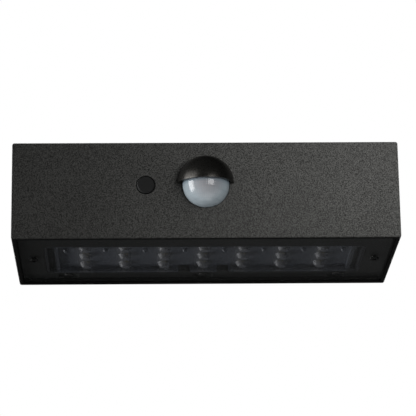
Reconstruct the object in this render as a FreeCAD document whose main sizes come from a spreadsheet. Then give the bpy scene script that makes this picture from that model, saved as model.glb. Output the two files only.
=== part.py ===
"""Solar fence light with a motion sensor: a box-shaped wall lamp that shines down.

Millimetres. The wall is the plane y = 0 and the lamp reaches out to -Y, +Z is up and
+X is to the right of someone who faces the lamp. The origin is the centre of the
mounting face, so every depth below is counted from the wall as y = -distance.
"""
import FreeCAD
import Part
import Sketcher
import math
import os

# ------------------------------------------------------------------ driving sizes
SIZES = {
    # the case as a whole
    "case_width": 200.0,
    "case_depth": 86.0,
    "case_height": 52.0,
    "case_wall": 2.4,
    "case_corner": 1.2,
    "front_round": 0.8,
    # back plate, its gasket and screws
    "back_thick": 2.4,
    "back_round": 0.8,
    "back_gasket_thick": 0.8,
    "back_gasket_inset": 0.5,
    "back_gasket_width": 1.6,
    "back_lip_to_post": 6.6,
    "back_lip_thick": 1.2,
    "back_lip_reach": 2.6,
    "back_screw_inset": 5.8,
    "back_screw_high": 15.0,
    "back_screw_low": 11.0,
    "back_screw_radius": 1.4,
    "back_screw_length": 9.0,
    "back_head_radius": 2.7,
    "back_head_thick": 1.2,
    "post_radius": 3.6,
    "post_length": 14.0,
    # keyholes in the back plate
    "keyhole_spread": 120.0,
    "keyhole_up": 4.0,
    "keyhole_radius": 4.2,
    "keyhole_slot": 4.6,
    "keyhole_rise": 8.0,
    "cup_wall": 1.4,
    "cup_room": 1.2,
    "cup_depth": 5.0,
    # solar panel in the top
    "panel_side_margin": 8.0,
    "panel_edge_margin": 7.0,
    "panel_gap": 0.3,
    "panel_sunk": 0.2,
    "bed_thick": 0.3,
    "bed_width": 5.0,
    "panel_board": 1.0,
    "cell_thick": 0.3,
    "cell_border": 3.5,
    "cell_gap": 0.8,
    "glass_thick": 1.0,
    "roof_thick": 1.8,
    "roof_rib_thick": 1.2,
    "roof_rib_deep": 2.0,
    "roof_rib_step": 40.0,
    "wire_hole_radius": 2.5,
    "wire_hole_right": 60.0,
    # underside: cover, tray, seal and ledge, from the outside in
    "cover_sunk": 0.4,
    "cover_thick": 2.0,
    "cover_gap": 0.3,
    "cover_air": 0.1,
    "tray_thick": 2.0,
    "seal_thick": 0.6,
    "seal_width": 1.5,
    "ledge_thick": 2.0,
    "ledge_side": 9.4,
    "ledge_front": 5.6,
    "ledge_back": 2.4,
    "rail_thick": 1.4,
    "window_to_side": 13.1,
    "window_from_front": 23.5,
    "window_to_wall": 15.5,
    "window_corner": 4.0,
    "lobe_radius": 3.2,
    "tray_screw_from_end": 11.5,
    "tray_screw_to_wall": 9.6,
    "tray_sink_radius": 4.8,
    "tray_sink_deep": 1.0,
    "tray_sink_slope": 0.5,
    "tray_sink_slope_high": 0.9,
    "tray_boss_radius": 3.4,
    "cover_screw_inset": 9.8,
    "cover_screw_from_front": 42.0,
    "cover_boss_radius": 3.0,
    "under_boss_high": 8.0,
    "small_screw_radius": 1.1,
    "small_head_radius": 2.3,
    "small_head_thick": 1.1,
    "screw_room": 0.05,
    "hole_room": 0.2,
    "sink_room": 0.2,
    "tip_room": 1.0,
    # lens plate and light board
    "lens_fit": 0.2,
    "lens_skin": 1.5,
    "lens_lip": 1.9,
    "lens_lip_thick": 1.2,
    "lens_floor": 1.0,
    "lens_rise": 0.9,
    "cap_from_end": 21.8,
    "cap_from_edge": 8.9,
    "cap_radius": 3.8,
    "cap_high": 2.6,
    "cap_taper": 1.4,
    "cap_taper_high": 2.4,
    "cap_rim": 0.4,
    "stud_radius": 1.4,
    "stud_high": 2.4,
    "stud_taper": 0.7,
    "stud_back": 2.4,
    "rib_to_window_side": 6.4,
    "rib_wide": 2.0,
    "rib_high": 2.2,
    "rib_from_edge": 2.5,
    "led_size": 3.0,
    "led_thick": 0.7,
    "led_pocket": 4.0,
    "led_pocket_deep": 1.5,
    "clip_slot_long": 6.6,
    "clip_slot_wide": 1.2,
    "light_board_thick": 1.6,
    "light_board_past_window": 1.5,
    "light_board_from_front": 12.0,
    "light_board_to_back": 7.4,
    "light_notch_room": 0.6,
    "light_screw_from_end": 6.5,
    "light_screw_inset_front": 4.0,
    "light_screw_inset_back": 3.0,
    "light_boss_radius": 3.0,
    # sensor lens, hood and sensor
    "sensor_up": 2.7,
    "dome_lens_radius": 12.1,
    "dome_lens_skin": 0.9,
    "dome_lens_room": 0.3,
    "dome_flange": 2.4,
    "dome_flange_thick": 1.2,
    "dome_gasket_thick": 0.6,
    "hood_radius": 14.5,
    "hood_skin": 1.8,
    "hood_lift": 0.7,
    "hood_droop": 1.0,
    "peg_radius": 0.8,
    "peg_length": 1.8,
    "peg_root": 0.5,
    "peg_angle": 14.0,
    "seat_ring_thick": 1.2,
    "retainer_thick": 1.4,
    "retainer_bore": 10.0,
    "retainer_ear": 3.0,
    "retainer_screw_side": 18.6,
    "retainer_boss_radius": 2.5,
    "fine_screw_radius": 0.9,
    "fine_head_radius": 2.0,
    "fine_head_thick": 1.0,
    "can_radius": 4.6,
    "can_high": 4.2,
    "can_rim": 0.4,
    "can_rim_thick": 0.6,
    "can_window": 2.0,
    # mode button and its switch
    "button_left": 31.0,
    "button_radius": 4.6,
    "button_room": 0.4,
    "button_proud": 1.0,
    "button_bevel": 0.5,
    "button_flange": 1.2,
    "button_flange_thick": 0.9,
    "button_rest_gap": 0.25,
    "button_travel": 0.5,
    "button_seal_room": 0.3,
    "button_seal_width": 1.3,
    "button_seal_thick": 1.6,
    "guide_thick": 1.2,
    "guide_high": 3.0,
    "plunger_radius": 1.7,
    "plunger_length": 2.75,
    "plunger_room": 0.15,
    "plunger_seated": 0.5,
    "well_room": 0.3,
    "switch_size": 6.2,
    "switch_high": 3.5,
    # main board behind the front wall
    "board_width": 92.0,
    "board_height": 30.0,
    "board_thick": 1.6,
    "board_stand": 9.6,
    "board_boss_radius": 2.8,
    "board_hole_inset_x": 5.0,
    "board_hole_inset_z": 4.0,
    "socket_wide": 7.6,
    "socket_tall": 4.8,
    "socket_deep": 6.0,
    "plug_deep": 4.0,
    "plug_side": 1.0,
    "socket_right": 24.0,
    "socket_step": 9.0,
    "chip_wide": 9.0,
    "chip_tall": 7.0,
    "chip_thick": 1.8,
    "coil_radius": 3.4,
    "coil_high": 4.5,
    "can_cap_radius": 3.0,
    "can_cap_high": 7.0,
    # battery on the back plate
    "cell_radius": 9.2,
    "cell_length": 65.0,
    "cell_up": 4.0,
    "cell_tip_radius": 3.2,
    "cell_tip_high": 1.0,
    "cell_room": 0.1,
    "cell_side_room": 0.5,
    "holder_floor": 2.0,
    "holder_end": 3.0,
    "holder_end_high": 16.6,
    "holder_side": 1.2,
    "holder_side_high": 7.0,
    "contact_room": 2.5,
    "contact_thick": 0.5,
    "contact_size": 12.0,
    "contact_bump": 2.4,
    "contact_bump_base": 3.4,
    "holder_boss_radius": 3.2,
    "holder_boss_high": 3.2,
    "holder_screw_side": 22.0,
    # leads
    "lead_radius": 0.9,
    "light_lead_right": 50.0,
    "light_lead_from_front": 36.0,
    "battery_lead_below": 3.0,
}

# counts of what repeats
CAP_COLUMNS = 7
CAP_ROWS = 3
CELL_STRIPS = 11
CLIP_SLOTS = 8
ROOF_RIBS = 5

doc = FreeCAD.newDocument("FenceLight")
sheet = doc.addObject("Spreadsheet::Sheet", "Dims")
for row, (alias, number) in enumerate(SIZES.items(), start=1):
    sheet.set(f"A{row}", alias)
    sheet.set(f"B{row}", str(number))
    sheet.setAlias(f"B{row}", alias)
doc.recompute()


class Size:
    """A length that carries its number and the sheet expression that gives it."""

    def __init__(self, number, text):
        self.number = float(number)
        self.text = text

    @staticmethod
    def of(other):
        return other if isinstance(other, Size) else Size(other, repr(float(other)))

    def joined(self, other, sign, number):
        return Size(number, f"({self.text} {sign} {Size.of(other).text})")

    def __add__(self, other):
        return self.joined(other, "+", self.number + Size.of(other).number)

    def __sub__(self, other):
        return self.joined(other, "-", self.number - Size.of(other).number)

    def __mul__(self, other):
        return self.joined(other, "*", self.number * Size.of(other).number)

    def __truediv__(self, other):
        return self.joined(other, "/", self.number / Size.of(other).number)

    def __radd__(self, other):
        return Size.of(other) + self

    def __rsub__(self, other):
        return Size.of(other) - self

    def __rmul__(self, other):
        return Size.of(other) * self

    def __neg__(self):
        return Size(-self.number, f"(0 - {self.text})")


class Sizes:
    """Every driving size as an attribute."""


d = Sizes()
for alias in SIZES:
    setattr(d, alias, Size(sheet.get(alias), f"Dims.{alias}"))

# ------------------------------------------------------------------ helpers
subparts = []


def bind(thing, name, value):
    """Tie one property of an object to the sheet."""
    value = Size.of(value)
    thing.setExpression(name, value.text)


def keep(thing, node):
    """Mark an object as a finished sub-part under its node's name."""
    thing.Label = node
    subparts.append(thing)
    return thing


def place(thing, x, y, z, turn=None):
    """Set an object's own origin, with a fixed turn."""
    spot = FreeCAD.Vector(Size.of(x).number, Size.of(y).number, Size.of(z).number)
    thing.Placement = FreeCAD.Placement(spot, turn or FreeCAD.Rotation())
    for letter, value in zip("xyz", (x, y, z)):
        bind(thing, f"Placement.Base.{letter}", value)
    return thing


UP = FreeCAD.Rotation()
TO_FRONT = FreeCAD.Rotation(FreeCAD.Vector(1, 0, 0), 90)
TO_WALL = FreeCAD.Rotation(FreeCAD.Vector(1, 0, 0), -90)
TO_RIGHT = FreeCAD.Rotation(FreeCAD.Vector(0, 1, 0), 90)
TO_LEFT = FreeCAD.Rotation(FreeCAD.Vector(0, 1, 0), -90)
DOWN = FreeCAD.Rotation(FreeCAD.Vector(1, 0, 0), 180)


def block(name, x1, x2, y1, y2, z1, z2):
    """A box between six planes."""
    box = doc.addObject("Part::Box", name)
    bind(box, "Length", Size.of(x2) - x1)
    bind(box, "Width", Size.of(y2) - y1)
    bind(box, "Height", Size.of(z2) - z1)
    return place(box, x1, y1, z1)


def rod(name, radius, length, x, y, z, turn=UP):
    """A cylinder that starts at a point and runs where the turn sends +Z."""
    cylinder = doc.addObject("Part::Cylinder", name)
    bind(cylinder, "Radius", radius)
    bind(cylinder, "Height", length)
    return place(cylinder, x, y, z, turn)


def taper(name, radius1, radius2, length, x, y, z, turn=UP):
    """A cone frustum, from radius1 at its start to radius2 at its far end."""
    cone = doc.addObject("Part::Cone", name)
    bind(cone, "Radius1", radius1)
    bind(cone, "Radius2", radius2)
    bind(cone, "Height", length)
    return place(cone, x, y, z, turn)


def half_ball(name, radius, x, y, z, turn):
    """A half sphere, flat side at the point, dome where the turn sends +Z."""
    ball = doc.addObject("Part::Sphere", name)
    bind(ball, "Radius", radius)
    ball.Angle1 = 0
    ball.Angle2 = 90
    return place(ball, x, y, z, turn)


def join(name, pieces):
    fuse = doc.addObject("Part::MultiFuse", name)
    fuse.Shapes = pieces
    fuse.Refine = True
    return fuse


def cut(name, base, tools):
    """The base without the tools."""
    result = doc.addObject("Part::Cut", name)
    result.Base = base
    result.Tool = tools[0] if len(tools) == 1 else join(name + "Tools", tools)
    return result


def group(name, pieces):
    """Separate solids that share one node."""
    compound = doc.addObject("Part::Compound", name)
    compound.Links = pieces
    return compound


def screw(name, x, y, z, turn, shank_radius, shank_length, head_radius, head_thick):
    """A pan-head screw. The point is under the head, and the shank runs along the turn."""
    head = rod(name + "Head", head_radius, head_thick, x, y, z, turn.multiply(DOWN))
    shank = rod(name + "Shank", shank_radius, shank_length, x, y, z, turn)
    return join(name, [head, shank])


# ------------------------------------------------------------------ sketch helpers
def body(name):
    return doc.addObject("PartDesign::Body", name)


def plane_of(owner, role):
    for feature in owner.Origin.OriginFeatures:
        if feature.Role == role:
            return feature
    raise RuntimeError(f"{owner.Name} has no {role}")


def sketch_on(owner, name, role, offset):
    """A sketch on an origin plane, moved along the plane's normal."""
    sketch = owner.newObject("Sketcher::SketchObject", name)
    sketch.AttachmentSupport = (plane_of(owner, role), [""])
    sketch.MapMode = "FlatFace"
    bind(sketch, "AttachmentOffset.Base.z", offset)
    return sketch


def pin_down(sketch, geometry, point, across, up):
    """Fix one point of a sketch at distances from the sketch's origin."""
    for kind, value in (("DistanceX", Size.of(across)), ("DistanceY", Size.of(up))):
        rule = Sketcher.Constraint(kind, -1, 1, geometry, point, value.number)
        index = sketch.addConstraint(rule)
        sketch.setExpression(f"Constraints[{index}]", value.text)


def add_rectangle(sketch, x1, y1, x2, y2):
    """A rectangle from its low corner to its high corner."""
    ends = [(x1, y1), (x2, y1), (x2, y2), (x1, y2)]
    spots = [FreeCAD.Vector(Size.of(a).number, Size.of(b).number, 0) for a, b in ends]
    first = sketch.GeometryCount
    for i in range(4):
        sketch.addGeometry(Part.LineSegment(spots[i], spots[(i + 1) % 4]))
    for i in range(4):
        following = first + (i + 1) % 4
        sketch.addConstraint(Sketcher.Constraint("Coincident", first + i, 2, following, 1))
        kind = "Horizontal" if i % 2 == 0 else "Vertical"
        sketch.addConstraint(Sketcher.Constraint(kind, first + i))
    pin_down(sketch, first, 1, x1, y1)
    pin_down(sketch, first + 2, 1, x2, y2)


def add_circle(sketch, x, y, radius):
    radius = Size.of(radius)
    spot = FreeCAD.Vector(Size.of(x).number, Size.of(y).number, 0)
    circle = Part.Circle(spot, FreeCAD.Vector(0, 0, 1), radius.number)
    number = sketch.addGeometry(circle)
    index = sketch.addConstraint(Sketcher.Constraint("Radius", number, radius.number))
    sketch.setExpression(f"Constraints[{index}]", radius.text)
    pin_down(sketch, number, 3, x, y)


def rectangles(owner, name, role, offset, corners):
    sketch = sketch_on(owner, name, role, offset)
    for x1, y1, x2, y2 in corners:
        add_rectangle(sketch, x1, y1, x2, y2)
    return sketch


def circles(owner, name, role, offset, spots):
    sketch = sketch_on(owner, name, role, offset)
    for x, y, radius in spots:
        add_circle(sketch, x, y, radius)
    return sketch


def pad(owner, sketch, length, against=False):
    """Add material along the sketch's normal, or against it."""
    feature = owner.newObject("PartDesign::Pad", sketch.Name + "Pad")
    feature.Profile = sketch
    feature.Reversed = against
    bind(feature, "Length", length)
    return feature


def pocket(owner, sketch, length, along=False):
    """Cut against the sketch's normal, or along it."""
    feature = owner.newObject("PartDesign::Pocket", sketch.Name + "Pocket")
    feature.Profile = sketch
    feature.Reversed = along
    bind(feature, "Length", length)
    return feature


def edges_where(feature, test):
    """Names of the edges of a feature's shape that pass a test."""
    doc.recompute()
    found = enumerate(feature.Shape.Edges, start=1)
    return [f"Edge{number}" for number, edge in found if test(edge)]


def round_edges(owner, base, name, radius, test, kind="Fillet"):
    feature = owner.newObject(f"PartDesign::{kind}", name)
    feature.Base = (base, edges_where(base, test))
    bind(feature, "Radius" if kind == "Fillet" else "Size", radius)
    owner.Tip = feature
    return feature


def near(a, b, slack=1e-4):
    return abs(a - b) < slack


def along_axis(edge, letter):
    """True for a straight edge that runs along X, Y or Z."""
    if edge.Curve.TypeId != "Part::GeomLine":
        return False
    box = edge.BoundBox
    lengths = {"x": box.XLength, "y": box.YLength, "z": box.ZLength}
    return all((length > 1e-3) == (key == letter) for key, length in lengths.items())


def ring_at(height, radius):
    """The test for a round edge of one radius that lies at one height."""
    level = height.number
    wanted = radius.number

    def test(edge):
        if edge.Curve.TypeId != "Part::GeomCircle":
            return False
        box = edge.BoundBox
        flat = near(box.ZMin, level) and near(box.ZMax, level)
        return flat and near(edge.Curve.Radius, wanted)

    return test


# ------------------------------------------------------------------ planes that pieces share
half_width = d.case_width / 2
inner_half = half_width - d.case_wall
top = d.case_height / 2
base = -(d.case_height / 2)
front = -d.case_depth
front_inside = front + d.case_wall
rear = d.back_thick + d.back_gasket_thick
front_depth = d.case_depth - d.case_wall

panel_recess = d.bed_thick + d.panel_board + d.cell_thick + d.glass_thick + d.panel_sunk
recess_floor = top - panel_recess
panel_half_long = half_width - d.panel_side_margin
panel_half_wide = d.case_depth / 2 - d.panel_edge_margin
ceiling = recess_floor - d.roof_thick

cover_low = base + d.cover_sunk
cover_high = cover_low + d.cover_thick
tray_low = cover_high + d.cover_air
tray_high = tray_low + d.tray_thick
ledge_low = tray_high + d.seal_thick
ledge_high = ledge_low + d.ledge_thick

rebate_back = -(rear + d.rail_thick)
opening_side = inner_half - d.ledge_side
opening_front = front_inside + d.ledge_front
opening_back = rebate_back - d.ledge_back

window_front = front + d.window_from_front
window_back = -d.window_to_wall
window_mid = (window_front + window_back) / 2
window_side = inner_half - d.window_to_side
cap_step_x = (window_side * 2 - d.cap_from_end * 2) / (CAP_COLUMNS - 1)
cap_step_y = (window_back - window_front - d.cap_from_edge * 2) / (CAP_ROWS - 1)
lobe_side = cap_step_x / 2

lens_low = tray_low + d.cover_air
lens_floor_low = tray_high + d.lens_rise
light_low = lens_floor_low + d.lens_floor
light_high = light_low + d.light_board_thick

tray_screw_y = -d.tray_screw_to_wall
tray_screw_x = window_side - d.tray_screw_from_end
cover_screw_y = front + d.cover_screw_from_front
cover_screw_x = half_width - d.cover_screw_inset

board_front = front_inside + d.board_stand
board_back = board_front + d.board_thick
board_low = d.sensor_up - d.board_height / 2
board_high = d.sensor_up + d.board_height / 2
board_half = d.board_width / 2
board_hole_x = board_half - d.board_hole_inset_x
board_hole_z = d.board_height / 2 - d.board_hole_inset_z

hood_mid = d.sensor_up + d.hood_lift
peg_reach = d.hood_radius - d.hood_skin / 2
peg_x = peg_reach * math.cos(math.radians(SIZES["peg_angle"]))
peg_z = hood_mid + peg_reach * math.sin(math.radians(SIZES["peg_angle"]))
flange_radius = d.dome_lens_radius + d.dome_flange
dome_hole = d.dome_lens_radius + d.dome_lens_room
gasket_back = front_inside + d.dome_gasket_thick
flange_back = gasket_back + d.dome_flange_thick

button_hole = d.button_radius + d.button_room
button_flange_radius = d.button_radius + d.button_flange
seal_inner = button_flange_radius + d.button_seal_room
seal_outer = seal_inner + d.button_seal_width

post_x = half_width - d.back_screw_inset
post_spots = [
    (side * post_x, height)
    for side in (-1, 1)
    for height in (d.back_screw_high, -d.back_screw_low)
]
board_spots = [
    (side * board_hole_x, d.sensor_up + rise * board_hole_z)
    for side in (-1, 1)
    for rise in (-1, 1)
]
tray_screw_xs = [-tray_screw_x, Size.of(0), tray_screw_x]
light_front_y = front + d.light_board_from_front
light_back_y = -d.light_board_to_back
light_spots = [
    (side * (window_side - d.light_screw_from_end), light_front_y + d.light_screw_inset_front)
    for side in (-1, 1)
] + [
    (side * tray_screw_x / 2, light_back_y - d.light_screw_inset_back)
    for side in (-1, 1)
]


# ------------------------------------------------------------------ housing
def outline(owner, name, offset, length):
    """The case's rounded outline as a slab that grows away from the wall."""
    sketch = rectangles(owner, name, "XZ_Plane", offset, [(-half_width, base, half_width, top)])
    slab = pad(owner, sketch, length)
    return round_edges(
        owner, slab, name + "Corners", d.case_corner, lambda edge: along_axis(edge, "y")
    )


def housing():
    """One moulding: front, sides and roof, open at the back and round the light window."""
    case = body("Housing")
    shell = outline(case, "CaseOutline", rear, d.case_depth - rear)
    face_y = front.number
    round_edges(
        case, shell, "FrontRound", d.front_round,
        lambda edge: near(edge.BoundBox.YMin, face_y) and near(edge.BoundBox.YMax, face_y),
    )
    cavity = rectangles(
        case, "Cavity", "XZ_Plane", rear, [(-inner_half, ledge_high, inner_half, ceiling)]
    )
    pocket(case, cavity, front_depth - rear, along=True)
    rebate = rectangles(
        case, "Rebate", "XY_Plane", base, [(-inner_half, front_inside, inner_half, rebate_back)]
    )
    pocket(case, rebate, ledge_low - base, along=True)
    opening = rectangles(
        case, "Opening", "XY_Plane", ledge_low,
        [(-opening_side, opening_front, opening_side, opening_back)],
    )
    pocket(case, opening, d.ledge_thick, along=True)
    recess_x = panel_half_long + d.panel_gap
    recess_y = panel_half_wide + d.panel_gap
    panel_mid = front / 2
    recess = rectangles(
        case, "PanelRecess", "XY_Plane", top,
        [(-recess_x, panel_mid - recess_y, recess_x, panel_mid + recess_y)],
    )
    pocket(case, recess, panel_recess)
    wire_hole = circles(
        case, "WireHole", "XY_Plane", recess_floor,
        [(d.wire_hole_right, panel_mid, d.wire_hole_radius)],
    )
    pocket(case, wire_hole, d.roof_thick)
    roof_ribs(case)
    front_openings(case)
    front_bosses(case)
    back_posts(case)
    under_bosses(case)
    return keep(case, "housing")


def roof_ribs(case):
    """Stiffening ribs under the roof, from the front wall most of the way back."""
    first = -d.roof_rib_step * ((ROOF_RIBS - 1) / 2)
    half_rib = d.roof_rib_thick / 2
    rib = rectangles(
        case, "RoofRib", "XY_Plane", ceiling,
        [(first - half_rib, front_inside, first + half_rib, -d.back_screw_length - rear)],
    )
    one = pad(case, rib, d.roof_rib_deep, against=True)
    ribs = case.newObject("PartDesign::LinearPattern", "RoofRibs")
    ribs.Originals = [one]
    ribs.Direction = (rib, ["H_Axis"])
    bind(ribs, "Length", d.roof_rib_step * (ROOF_RIBS - 1))
    ribs.Occurrences = ROOF_RIBS
    case.Tip = ribs


def front_openings(case):
    """Holes in the front wall for the sensor lens, the button and the hood's pegs."""
    holes = circles(
        case, "FrontHoles", "XZ_Plane", d.case_depth,
        [(Size.of(0), d.sensor_up, dome_hole), (-d.button_left, d.sensor_up, button_hole)],
    )
    pocket(case, holes, d.case_wall)
    pegs = circles(
        case, "PegHoles", "XZ_Plane", d.case_depth,
        [(side * peg_x, peg_z, d.peg_radius + d.screw_room) for side in (-1, 1)],
    )
    pocket(case, pegs, d.peg_length + d.screw_room)


def front_bosses(case):
    """Board posts, lens seat, button guide and retainer posts behind the front wall."""
    posts = circles(
        case, "BoardPosts", "XZ_Plane", front_depth,
        [(x, z, d.board_boss_radius) for x, z in board_spots],
    )
    pad(case, posts, d.board_stand, against=True)
    pilots = circles(
        case, "BoardPilots", "XZ_Plane", front_depth - d.board_stand,
        [(x, z, d.fine_screw_radius + d.screw_room) for x, z in board_spots],
    )
    pocket(case, pilots, d.board_stand - d.board_thick, along=True)
    seat_radius = flange_radius + d.dome_lens_room
    seat = circles(
        case, "LensSeat", "XZ_Plane", front_depth,
        [
            (Size.of(0), d.sensor_up, seat_radius + d.seat_ring_thick),
            (Size.of(0), d.sensor_up, seat_radius),
        ],
    )
    pad(case, seat, d.dome_gasket_thick + d.dome_flange_thick, against=True)
    guide = circles(
        case, "ButtonGuide", "XZ_Plane", front_depth,
        [
            (-d.button_left, d.sensor_up, seal_outer + d.guide_thick),
            (-d.button_left, d.sensor_up, seal_outer),
        ],
    )
    pad(case, guide, d.guide_high, against=True)
    ears = circles(
        case, "RetainerPosts", "XZ_Plane", front_depth,
        [
            (side * d.retainer_screw_side, d.sensor_up, d.retainer_boss_radius)
            for side in (-1, 1)
        ],
    )
    pad(case, ears, d.dome_gasket_thick + d.dome_flange_thick, against=True)
    ear_pilots = circles(
        case, "RetainerPilots", "XZ_Plane", -flange_back,
        [
            (side * d.retainer_screw_side, d.sensor_up, d.fine_screw_radius + d.screw_room)
            for side in (-1, 1)
        ],
    )
    pocket(case, ear_pilots, d.dome_gasket_thick + d.dome_flange_thick, along=True)


def back_posts(case):
    """Four posts in the corners that take the back plate's screws."""
    posts = circles(
        case, "BackPosts", "XZ_Plane", rear, [(x, z, d.post_radius) for x, z in post_spots]
    )
    pad(case, posts, d.post_length)
    pilots = circles(
        case, "BackPilots", "XZ_Plane", rear,
        [(x, z, d.back_screw_radius + d.screw_room) for x, z in post_spots],
    )
    pocket(case, pilots, d.back_screw_length, along=True)


def under_bosses(case):
    """Bosses on the ledge for the tray's three screws and the cover's two."""
    tray = [(x, tray_screw_y, d.tray_boss_radius) for x in tray_screw_xs]
    cover = [(side * cover_screw_x, cover_screw_y, d.cover_boss_radius) for side in (-1, 1)]
    posts = circles(case, "UnderPosts", "XY_Plane", ledge_low, tray + cover)
    pad(case, posts, d.under_boss_high)
    pilot = d.small_screw_radius + d.screw_room
    spots = [(x, y, pilot) for x, y, _ in tray + cover]
    pilots = circles(case, "UnderPilots", "XY_Plane", ledge_low, spots)
    pocket(case, pilots, d.under_boss_high - d.screw_room, along=True)


# ------------------------------------------------------------------ back plate
def back_plate():
    """The cover against the wall, with two keyholes, each over a blind cup."""
    plate = body("BackPlate")
    slab = outline(plate, "PlateOutline", 0, d.back_thick)
    round_edges(
        plate, slab, "BackRound", d.back_round,
        lambda edge: near(edge.BoundBox.YMin, 0) and near(edge.BoundBox.YMax, 0),
    )
    half_lip = post_x - d.post_radius - d.back_lip_to_post
    high = ceiling - d.roof_rib_deep - d.cover_gap
    low = ledge_high + d.cover_gap
    lips = rectangles(
        plate, "Lips", "XZ_Plane", d.back_thick,
        [
            (-half_lip, high - d.back_lip_thick, half_lip, high),
            (-half_lip, low, half_lip, low + d.back_lip_thick),
        ],
    )
    pad(plate, lips, d.back_gasket_thick + d.back_lip_reach)
    keyholes(plate)
    holes = circles(
        plate, "PlateHoles", "XZ_Plane", 0,
        [(x, z, d.back_screw_radius + d.hole_room) for x, z in post_spots],
    )
    pocket(plate, holes, d.back_thick, along=True)
    sinks = circles(
        plate, "PlateSinks", "XZ_Plane", 0,
        [(x, z, d.back_head_radius + d.cover_gap) for x, z in post_spots],
    )
    pocket(plate, sinks, d.back_head_thick + d.screw_room, along=True)
    stand_offs = circles(
        plate, "HolderPosts", "XZ_Plane", d.back_thick,
        [(side * d.holder_screw_side, d.cell_up, d.holder_boss_radius) for side in (-1, 1)],
    )
    pad(plate, stand_offs, d.holder_boss_high)
    pilots = circles(
        plate, "HolderPilots", "XZ_Plane", d.back_thick + d.holder_boss_high,
        [
            (side * d.holder_screw_side, d.cell_up, d.small_screw_radius + d.screw_room)
            for side in (-1, 1)
        ],
    )
    pocket(plate, pilots, d.holder_boss_high)
    return keep(plate, "back_plate")


def keyholes(plate):
    """Round entries with a narrower slot above, each with a closed cup behind it."""
    slot_top = d.keyhole_up + d.keyhole_rise
    half_slot = d.keyhole_slot / 2
    room_side = d.keyhole_radius + d.cup_room
    room_low = d.keyhole_up - d.keyhole_radius - d.cup_room
    room_high = slot_top + half_slot + d.cup_room
    mids = [side * d.keyhole_spread / 2 for side in (-1, 1)]
    walls = rectangles(
        plate, "Cups", "XZ_Plane", d.back_thick,
        [
            (
                mid - room_side - d.cup_wall, room_low - d.cup_wall,
                mid + room_side + d.cup_wall, room_high + d.cup_wall,
            )
            for mid in mids
        ],
    )
    pad(plate, walls, d.cup_depth + d.cup_wall)
    rooms = rectangles(
        plate, "CupRooms", "XZ_Plane", d.back_thick,
        [(mid - room_side, room_low, mid + room_side, room_high) for mid in mids],
    )
    pocket(plate, rooms, d.cup_depth, along=True)
    entries = circles(
        plate, "KeyholeEntries", "XZ_Plane", 0,
        [(mid, d.keyhole_up, d.keyhole_radius) for mid in mids],
    )
    pocket(plate, entries, d.back_thick, along=True)
    slots = rectangles(
        plate, "KeyholeSlots", "XZ_Plane", 0,
        [(mid - half_slot, d.keyhole_up, mid + half_slot, slot_top) for mid in mids],
    )
    pocket(plate, slots, d.back_thick, along=True)
    ends = circles(
        plate, "KeyholeEnds", "XZ_Plane", 0, [(mid, slot_top, half_slot) for mid in mids]
    )
    pocket(plate, ends, d.back_thick, along=True)


def back_gasket():
    """A flat rubber frame between the housing's rear rim and the back plate."""
    inset = d.back_gasket_inset
    outer = block(
        "GasketOuter", -half_width + inset, half_width - inset,
        -rear, -d.back_thick, base + inset, top - inset,
    )
    reach = inset + d.back_gasket_width
    inner = block(
        "GasketInner", -half_width + reach, half_width - reach,
        -rear, -d.back_thick, base + reach, top - reach,
    )
    return keep(cut("Gasket", outer, [inner]), "back_gasket")


def back_screws():
    y = -(d.back_head_thick + d.screw_room)
    pieces = [
        screw(
            f"BackScrew{i}", x, y, z, TO_FRONT,
            d.back_screw_radius, d.back_screw_length,
            d.back_head_radius, d.back_head_thick,
        )
        for i, (x, z) in enumerate(post_spots)
    ]
    return keep(group("BackScrews", pieces), "back_screws")


# ------------------------------------------------------------------ solar panel
def solar_panel():
    """The panel's bed, board, cell strips and clear front, stacked in the roof's recess."""
    half_long = panel_half_long
    half_wide = panel_half_wide
    mid = front / 2
    bed_high = recess_floor + d.bed_thick
    board_high_z = bed_high + d.panel_board
    cell_high = board_high_z + d.cell_thick
    outer = block(
        "BedOuter", -half_long, half_long, mid - half_wide, mid + half_wide, recess_floor, bed_high
    )
    inner = block(
        "BedInner", -half_long + d.bed_width, half_long - d.bed_width,
        mid - half_wide + d.bed_width, mid + half_wide - d.bed_width, recess_floor, bed_high,
    )
    keep(cut("Bed", outer, [inner]), "solar_bed")
    board = block(
        "PanelBoard", -half_long, half_long,
        mid - half_wide, mid + half_wide, bed_high, board_high_z,
    )
    keep(board, "solar_board")
    strip = (2 * half_long - 2 * d.cell_border + d.cell_gap) / CELL_STRIPS
    strips = []
    for i in range(CELL_STRIPS):
        left = -half_long + d.cell_border + strip * i
        strips.append(
            block(
                f"CellStrip{i}", left, left + strip - d.cell_gap,
                mid - half_wide + d.cell_border, mid + half_wide - d.cell_border,
                board_high_z, cell_high,
            )
        )
    keep(group("CellStrips", strips), "solar_cells")
    glass = block(
        "PanelGlass", -half_long, half_long,
        mid - half_wide, mid + half_wide, cell_high, cell_high + d.glass_thick,
    )
    keep(glass, "solar_glass")


# ------------------------------------------------------------------ underside
def led_cover():
    """The smoky clear plate that closes the underside."""
    gap = d.cover_gap
    plate = block(
        "CoverPlate", -inner_half + gap, inner_half - gap,
        front_inside + gap, rebate_back - gap, cover_low, cover_high,
    )
    tools = []
    for i, side in enumerate((-1, 1)):
        x = side * cover_screw_x
        hole_radius = d.small_screw_radius + d.hole_room
        tools.append(rod(f"CoverHole{i}", hole_radius, d.cover_thick, x, cover_screw_y, cover_low))
        sink_deep = d.small_head_thick + d.screw_room
        sink_radius = d.small_head_radius + d.sink_room
        tools.append(rod(f"CoverSink{i}", sink_radius, sink_deep, x, cover_screw_y, cover_low))
    return keep(cut("Cover", plate, tools), "led_cover")


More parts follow.
